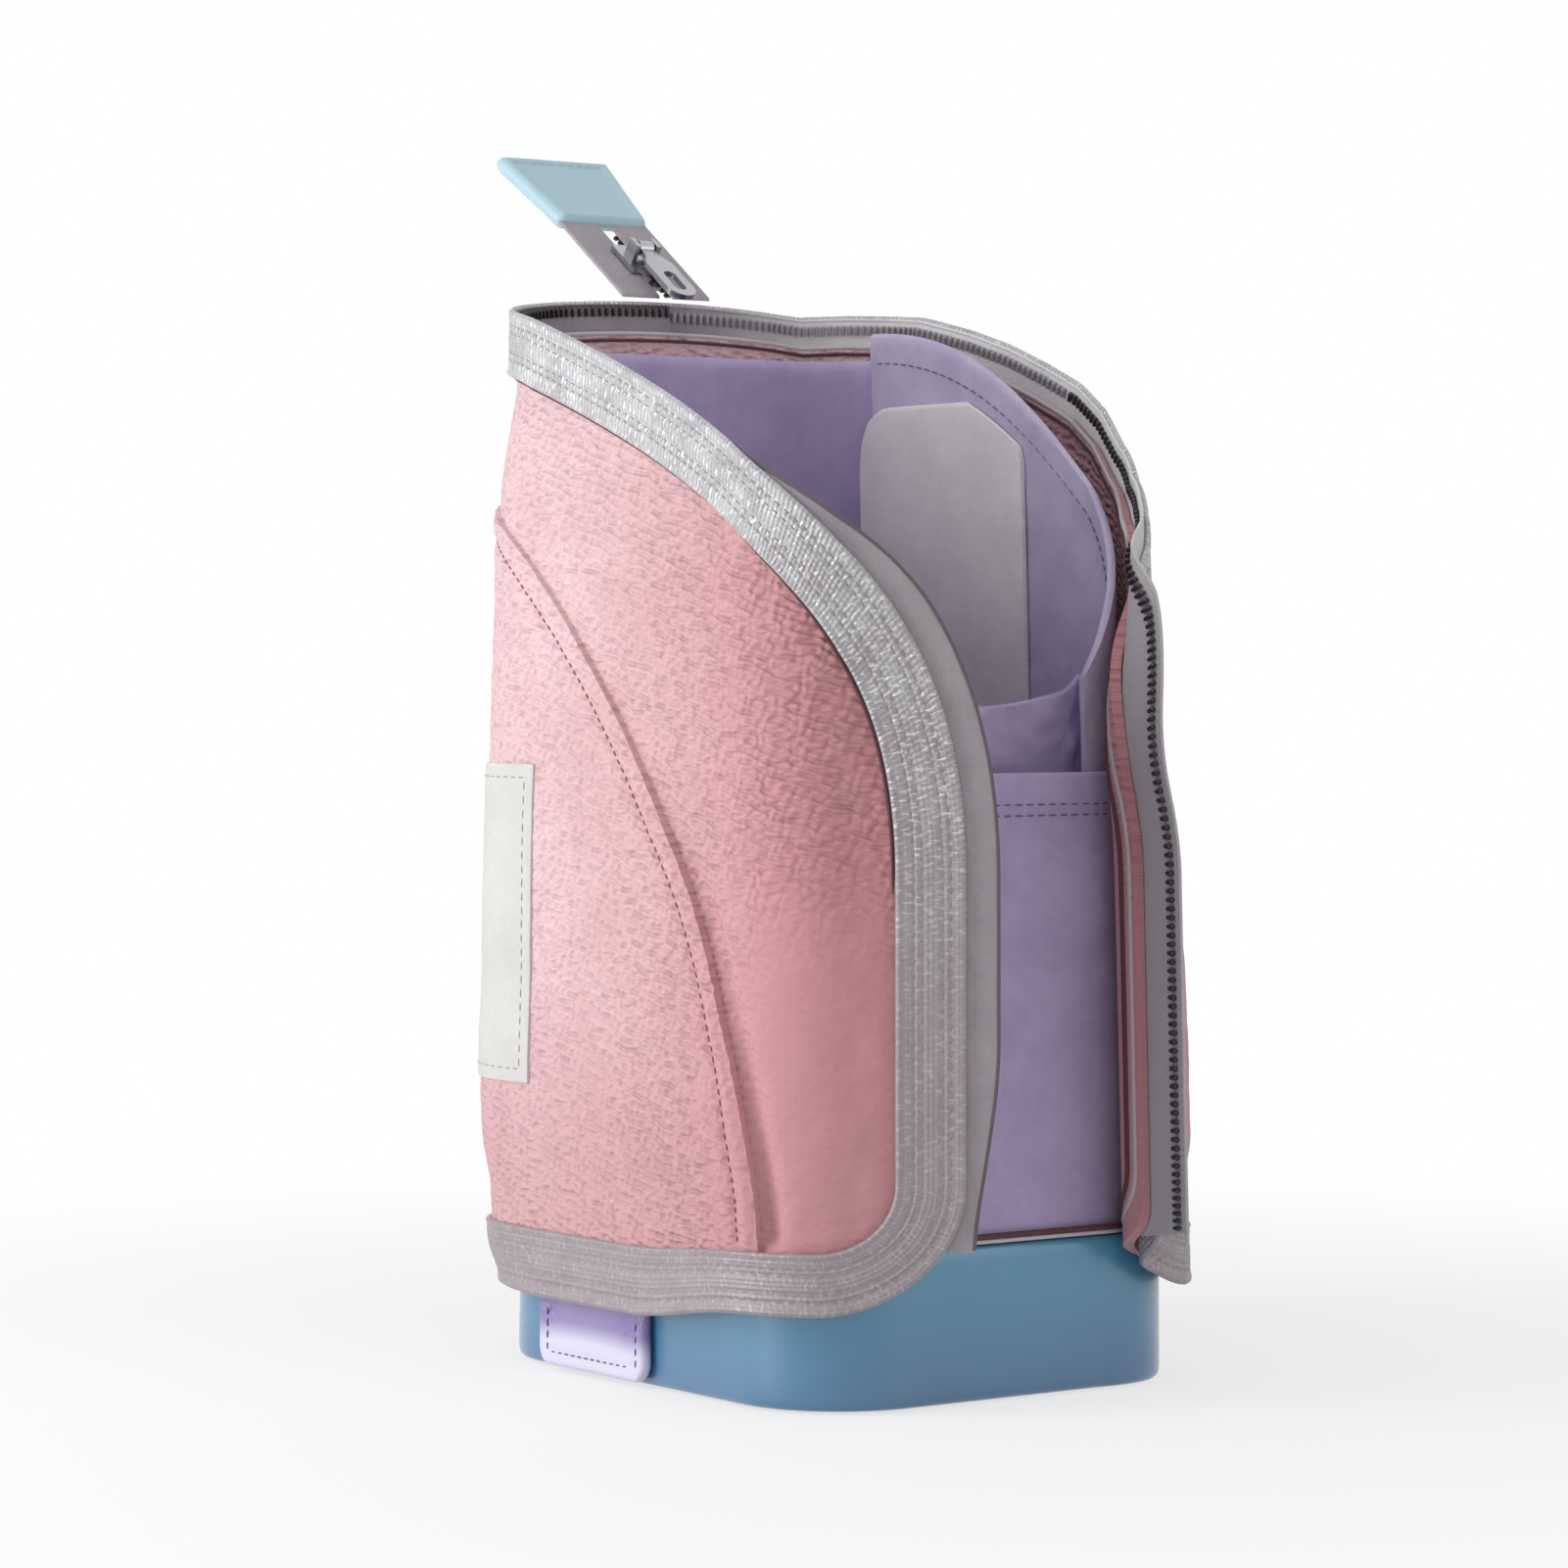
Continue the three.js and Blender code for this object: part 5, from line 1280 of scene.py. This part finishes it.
# %% Zip tape
STRAIGHT_FROM = int(np.argmin(np.abs(RIM[:, 1] - 41.5) + (RIM[:, 0] < FLAP_END - 6) * 1000))
TAPE_FOOT = {1: (27.5, 26.9), -1: (25.8, 28.6)}
TAPE_ROOT, TAPE_OFF = -11.2, 5.45
TAPE_PARTS = {"top": (0, TOP_MIDDLE + 1, "flap"), "side": (TOP_MIDDLE, None, "wing")}


def tape_grid(side):
    """Points, outward directions and free edge of the tape: along the rim, then straight
    down past the rim's round corner to its cut end."""
    fall = np.linspace(0, RIM[STRAIGHT_FROM, 1] - TAPE_FOOT[side][0], 20)[1:]
    down = np.stack([np.full(len(fall), FLAP_END), RIM[STRAIGHT_FROM, 1] - fall], -1)
    line = np.vstack([RIM[:STRAIGHT_FROM + 1], down])
    outs = np.vstack([RIM_OUT[:STRAIGHT_FROM + 1], np.tile([[1.0, 0.0]], (len(fall), 1))])
    proud = np.concatenate([TAPE_PROUD[:STRAIGHT_FROM + 1], np.full(len(fall), TAPE_PROUD[STRAIGHT_FROM])])
    if side > 0:
        proud = proud - 4.4 * ramp(line[:, 1], 66, 24)
    return line, outs, proud


def tape_sheet(name, side, a, b, part):
    """The tape between two places along its line, cut on a slant at its free end."""
    line, outs, proud = tape_grid(side)
    share = np.linspace(0, 1, 15)
    across = TAPE_ROOT + (proud[:, None] - TAPE_ROOT) * share
    flat = line[:, None] + outs[:, None] * across[..., None]
    run = length_along(line)
    near_end = ramp(run, run[-1] - 16, run[-1])[:, None]
    flat[..., 1] += near_end * (TAPE_FOOT[side][1] - TAPE_FOOT[side][0]) * share
    flat, across, run = flat[a:b], across[a:b], run[a:b]
    half = 0.3 * soft_edge(np.minimum(share, 1 - share) * 14, 0.5)
    S, Z = flat[..., 0] * side, flat[..., 1]
    uv = to_cloth(np.broadcast_to(run[:, None], across.shape), across)
    ripple = 0.12 * noise(uv[..., 0] / MM, uv[..., 1] / MM, 11, 71 + side, 2) * share
    inner, outer = (on_shell(S, Z, TAPE_OFF + d * half + ripple) for d in (-1, 1))
    obj = slab(name, inner, outer, None, uv)
    bend(dress(obj, TAPE if side > 0 else TAPE_BACK_LIT), side, part)
    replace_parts(obj, *part_nodes(side, part, "tape"))
    as_cloth(obj)


def selvedge(name, side, a, b, part):
    """The tape's thicker free edge."""
    line, outs, proud = (v[a:b] for v in tape_grid(side))
    section = round_section(-0.15, TAPE_OFF, 0.36) + np.stack([proud, 0 * proud], -1)[:, None]
    obj = sweep(name, line, outs, section, None, side)
    bend(dress(obj, TAPE_EDGE if side > 0 else TAPE_BACK_LIT), side, part)


for side, word in WORDS.items():
    for kind, make in (("tape", tape_sheet), ("selvedge", selvedge)):
        for where, part in TAPE_PARTS.items():
            make(f"{word}_{kind}_{where}", side, *part)
print("tape made")

# %% Zip teeth
TOOTH = [(-1.9, 0.3, 0.3, 0), (-1.6, 0.5, 0.45, 0), (-0.9, 0.45, 0.45, 0), (-0.5, 0.55, 0.55, 0),
         (-0.15, 0.5, 0.5, 0), (0.1, 0.25, 0.25, 0)]
TOOTH_PITCH = 1.6


def teeth(name, side, a, b, part):
    """The zip's chain: one nylon tooth per pitch, on the tape's inner face."""
    line, outs, proud = (v[a:b] for v in tape_grid(side))
    run = length_along(line)
    at = (np.arange(int(run[-1] / TOOTH_PITCH)) + 0.5) * TOOTH_PITCH
    spots, axes = read_line(line, run, at), read_line(outs, run, at)
    spots = spots + axes * (np.interp(at, run, proud) - (0.4 if side > 0 else 1.3))[:, None]
    obj = bead_row(name, spots, axes, TOOTH, 4.6, None, side)
    # The back's teeth along the top take the painted-light copy.
    bend(dress(obj, COIL if side > 0 or part == "wing" else COIL_LIT), side, part)
    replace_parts(obj, *part_nodes(side, part, "coil"))


for side, word in WORDS.items():
    teeth(f"{word}_teeth_top", side, 0, TOP_MIDDLE + 1, "flap")
    teeth(f"{word}_teeth_side", side, TOP_MIDDLE, -2, "wing")
print("teeth every", TOOTH_PITCH, "mm")

# %% [markdown]
# ## Stitches
#
# Four rows run along the webbing in two pairs, and one along the lapped edge. Each stitch
# is a small bead of thread that dips into the cloth at both ends.

# %% Stitch rows
def web_height(across):
    """Stand-off of the webbing's face under a stitch row."""
    return WEB_FACE + float(web_relief(np.array(across))) - 0.02


for side, word in WORDS.items():
    for k, across in enumerate(STITCH_LINES):
        for where, (line, outs, part) in PARTS.items():
            row = stitches(f"{word}_web_stitches_{where}_{k}", line + outs * across, web_height(across),
                           THREAD_SILVER, None, side, pitch=2.4, length=1.7, radius=0.2)
            bend(row, side, part)
    beside = even(SEAM + direction(SEAM)[:, ::-1] * (GROOVE_AT, -GROOVE_AT), 0.5)
    beside = beside[(beside[:, 0] >= 0) & (beside[:, 1] > 27.5)]
    row = stitches(f"{word}_seam_stitches", beside, lambda s, z: lap_face(s, z, GROOVE_AT) + 0.02,
                   THREAD_ROSE, None, side, pitch=2.0, length=1.35, radius=0.2)
    bend(row, side, "flap")
print("stitches made")

# %% [markdown]
# ## Label, pull tab and zip end
#
# Small pieces carry much of the look: a bare woven label with a dashed border, which hugs
# the spine's corner; a coated pull tab with stitched sides; and the zip's tail with its
# folded, coated end.

# %% Label
LABEL_WIDE, LABEL_TALL, LABEL_FOOT, LABEL_HEM = 44, 60, 54, 2.5
LABEL_START = FLAP_START + 8 - LABEL_WIDE + 0.7
S, Z = np.meshgrid(np.linspace(LABEL_START, LABEL_START + LABEL_WIDE, 80),
                   np.linspace(LABEL_FOOT, LABEL_FOOT + LABEL_TALL, 90), indexing="ij")
edge = np.minimum(np.minimum(S - S.min(), S.max() - S), np.minimum(Z - Z.min(), Z.max() - Z))


def label_face(s, z):
    """Stand-off of the label's face: it follows the swelling and smooths the crinkle."""
    return PANEL_FACE + bulge(s, z) + waves(s, z) * 0.7 + LAP_THICK + 0.62 + 0.1 * noise(s, z, 12, 61, 2)


outer = on_shell(S, Z, label_face(S, Z) - 0.25 * (1 - soft_edge(edge, 0.4)))
inner = on_shell(S, Z, label_face(S, Z) - 0.75)
uv = to_cloth(S, Z)
label = slab("label_sheet", inner, outer, "pouch_body", uv)
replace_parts(dress(label, LABEL), "label_patch")
as_cloth(label)
low, wide, tall = LABEL_HEM, LABEL_WIDE - LABEL_HEM, LABEL_TALL - LABEL_HEM
corners = np.array([[low, low], [wide, low], [wide, tall], [low, tall], [low, low]])
for k in range(4):
    line = even(corners[k:k + 2] + [LABEL_START, LABEL_FOOT], 0.5)
    stitches(f"label_stitches_{k}", line, lambda s, z: label_face(s, z) + 0.02, THREAD_GREEN, "pouch_body",
             length=1.7, radius=0.14)
print("label is", LABEL_WIDE, "by", LABEL_TALL, "mm and bare")

# %% Pull tab
TAB_MIDDLE, TAB_HALF, TAB_FACE_Y = -12.0, 18.0, -44.5


def tab_plate(name, node, body, low, high, thick, foot_round):
    """A coated tab: soft edges, a shallow hollow, and a lens-shaped dent under the shell's foot."""
    u, v = np.linspace(-1, 1, 90), np.linspace(0, 1, 60)
    U, V = np.meshgrid(u, v, indexing="ij")
    Z = low + (high - low) * V
    squeeze = np.ones_like(V)
    if foot_round:
        d = np.clip(low + foot_round - Z, 0, foot_round)
        squeeze = (TAB_HALF - foot_round + np.sqrt(np.clip(foot_round**2 - d * d, 0, None))) / TAB_HALF
    X = TAB_MIDDLE + U * TAB_HALF * squeeze
    edge = (1 - np.abs(U)) * TAB_HALF
    if foot_round:
        edge = np.minimum(edge, Z - low)
    soft = soft_edge(edge, 0.9)
    rim = 0.22 * hump(edge, 1.3, 0.8) - 0.2 * ramp(edge, 2.0, 5.0)
    groove = -0.2 * hump(edge, 3.0, 0.45)
    lens = -0.4 * ramp(Z, 6.4 + 5.8 * U**2, 7.4 + 5.8 * U**2)
    swell = 0.25 * noise(X, Z, 14, 63, 2)
    face = thick / 2 + (thick / 2 + (rim + groove + lens + swell) * (thick > 1.5)) * soft
    back = thick / 2 - thick / 2 * soft
    outer = np.stack([X, TAB_FACE_Y - face, Z], -1) * MM
    inner = np.stack([X, TAB_FACE_Y - back, Z], -1) * MM
    uv = to_cloth(X, Z)
    obj = slab(name, inner, outer, body, uv)
    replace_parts(dress(obj, TAB), node)
    return as_cloth(obj)


def on_tab(s, z, off):
    """Points in front of the tab's back face; distances are measured along X."""
    s, z, off = same_shape(s, z, off)
    return np.stack([s, TAB_FACE_Y - off, z], -1) * MM


tab_plate("pull_tab_hang", "pull_tab", "pull_tab", 0.6, 13.45, 2.0, 4.0)
tab_plate("pull_tab_sewn", "pull_tab_root", "pouch_body", 13.75, 24.0, 1.2, 0.0)
left, right = TAB_MIDDLE - TAB_HALF + 3.0, TAB_MIDDLE + TAB_HALF - 3.0
for name, ends in (("left", [[left, 3.0], [left, 13.0]]), ("right", [[right, 3.0], [right, 13.0]]),
                   ("foot", [[-26.0, 3.2], [2.0, 3.2]])):
    stitches(f"pull_tab_stitches_{name}", np.array(ends), 1.86, THREAD_PURPLE, "pull_tab",
             pitch=2.2, length=1.5, radius=0.17, wall=on_tab)
print("pull tab is", 2 * TAB_HALF, "mm wide")

# %% Zip end and its tab
TAIL_LEAN, TAIL_TEETH = math.radians(35), 13
TAIL_AT = np.array([-HALF_LENGTH - 5.9 + LEAN, 0.0, SPINE_TOP + 0.8])


def tail_point(x, y, z):
    """From the zip end's own frame to the row frame, in metres."""
    c, s = math.cos(TAIL_LEAN), math.sin(TAIL_LEAN)
    return (np.stack([x * c + z * s, y + 0 * x, -x * s + z * c], -1) + TAIL_AT) * MM


def tail_slab(name, node, reach, halves, thick, mat, round_end=1.5, rim=0.0, shift=0.0):
    """A flat piece along the tail: a tapered outline with round corners, and a raised rim
    where its edges are turned in."""
    u, v = np.linspace(0, 1, 60), np.linspace(-1, 1, 48)
    U, V = np.meshgrid(u, v, indexing="ij")
    X = reach[0] + (reach[1] - reach[0]) * U
    half_width = halves[0] + (halves[1] - halves[0]) * U
    ends = np.minimum(U, 1 - U) * abs(reach[1] - reach[0])
    cut = round_end - np.sqrt(np.clip(round_end**2 - (round_end - np.minimum(ends, round_end)) ** 2, 0, None))
    Y = shift + V * (half_width - cut)
    edge = np.minimum(ends, (1 - np.abs(V)) * half_width)
    soft = soft_edge(edge, thick / 2, 0.04)
    raised = rim * (hump(edge, 1.5, 0.7) - ramp(edge, 2.4, 3.2) + 0.3 * noise(X, Y, 7, 65, 2))
    height = (thick / 2 + raised) * soft
    uv = to_cloth(X, Y)
    obj = slab(name, tail_point(X, Y, -height), tail_point(X, Y, height), "zip_end", uv)
    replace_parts(dress(obj, mat), node)
    return obj, uv


tail_tapes = [tail_slab(f"tail_tape_{word}", f"zip_end_tape_{word}", (0.0, -36.0), (4.5, 4.5), 0.8, TAPE,
                        0.3, 0.0, side * 6.0)[0] for side, word in ((-1, "front"), (1, "back"))]
end_tab, uv = tail_slab("end_tab_folded", "end_tab", (-28.0, -53.0), (10.75, 13.75), 3.0, LIGHT_BLUE,
                        2.2, 0.25)
as_cloth(end_tab)


def on_tail(s, z, off):
    """Points over the tail's upper face: distance along it, across it, and stand-off."""
    s, z, off = same_shape(s, z, off)
    return tail_point(s, z, off)


for side, word in ((-1, "front"), (1, "back")):
    spots = np.stack([-3.4 - np.arange(TAIL_TEETH) * 1.85, np.full(TAIL_TEETH, side * 1.65)], -1)
    axes = np.tile([[0.0, -float(side)]], (TAIL_TEETH, 1))
    row = bead_row(f"tail_teeth_{word}", spots, axes, TOOTH, -1.2, "zip_end", 1, on_tail)
    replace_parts(dress(row, COIL), f"zip_end_coil_{word}")
for k, (x, half) in enumerate(((-30.6, 8.6), (-50.4, 11.2))):
    stitches(f"end_tab_stitches_{k}", np.array([[x, -half], [x, half]]), 1.36, PALE_CORD, "zip_end",
             pitch=2.2, length=1.5, wall=on_tail)
for node in ("zip_slider", "zip_puller"):
    dress(frame["nodes"][node], METAL)
print("zip end leans", round(math.degrees(TAIL_LEAN)), "degrees")

# %% [markdown]
# ## Floor and light
#
# The studio is pale and plain. One soft lamp stands close on the left, so the flat side by
# the spine is bright and the wing that faces the camera lies in softer light. A weak lamp
# fills from the right, one from above lights the rim, and a small low one gives the coated
# base its soft highlight. The floor is white for the camera, but keeps part of its own
# shading, so the pouch's shadow stays.

# %% Floor
bpy.ops.mesh.primitive_plane_add(size=6)
floor = bpy.context.object
floor.name = "floor"
floor.location = (0, 0, -0.0005)


def camera_sees(maker):
    """1 for rays from the camera and for those seen in glossy or clear surfaces."""
    path = maker.node("ShaderNodeLightPath").outputs
    some = maker.plus(path["Is Camera Ray"], path["Is Glossy Ray"])
    return maker.plus(some, path["Is Transmission Ray"], clamp=True)


ground = Maker("pale_matt_floor", 0.9)
ground.shader.inputs["Base Color"].default_value = colour(0xF4F4F4)
away = ground.node("ShaderNodeVectorMath", {0: ground.spot()}, operation="LENGTH").outputs["Value"]
grain = ground.times(ground.minus(ground.noise(ground.spot(), 120.0), 0.5), 0.02)
shown = ground.plus(ground.span(away, 0.10, 0.40, 0.7, 1.0, True), grain, clamp=True)
white = ground.node("ShaderNodeEmission", {"Color": (1, 1, 1, 1), "Strength": 1.0})
share = ground.times(camera_sees(ground), shown)
both = ground.node("ShaderNodeMixShader", {0: share, 1: ground.shader.outputs[0], 2: white.outputs[0]})
ground.tree.links.new(both.outputs[0], ground.output.inputs["Surface"])
dress(floor, ground.material)
print("floor laid")


# %% Lamps and world
def lamp(name, spot, size, power, aim=(0, 0, 0.1), tall=None):
    """A soft lamp at a spot, square or so tall, turned towards the pouch."""
    data = bpy.data.lights.new(name, "AREA")
    data.shape = "RECTANGLE"
    data.size = size
    data.size_y = tall or size
    data.energy = power
    made = bpy.data.objects.new(name, data)
    bpy.context.scene.collection.objects.link(made)
    made.location = spot
    made.rotation_euler = (Vector(aim) - Vector(spot)).to_track_quat("-Z", "Y").to_euler()
    return made


right = Vector((math.cos(SIDE_TURN), math.sin(SIDE_TURN), 0))
up = Vector((0, 0, 1))
KEY_POWER, TOP_POWER, FILL_POWER, LOW_POWER, WORLD_STRENGTH = 1.9, 1.3, 1.7, 0.24, 0.42
lamp("key", view_out * 0.17 - right * 0.5 + up * 0.27, 0.3, KEY_POWER, tall=0.5)
lamp("low", view_out * 0.23 - right * 0.45 + up * 0.055, 0.16, LOW_POWER, (0, 0, 0.02), tall=0.1)
lamp("top", up * 1.0 + view_out * 0.2, 0.6, TOP_POWER)
lamp("fill", view_out * 0.55 + right * 0.95 + up * 0.35, 0.8, FILL_POWER)

world = bpy.data.worlds.new("studio")
bpy.context.scene.world = world
sky = Nodes(world)
soft = sky.node("ShaderNodeBackground", {"Color": (0.94, 0.95, 0.96, 1), "Strength": WORLD_STRENGTH})
bright = sky.node("ShaderNodeBackground", {"Color": (1, 1, 1, 1), "Strength": 1.0})
both = sky.node("ShaderNodeMixShader", {0: camera_sees(sky), 1: soft.outputs[0], 2: bright.outputs[0]})
sky.node("ShaderNodeOutputWorld", {"Surface": both.outputs[0]})
bpy.context.scene.view_settings.view_transform = "Standard"
print("four lamps and a pale room")
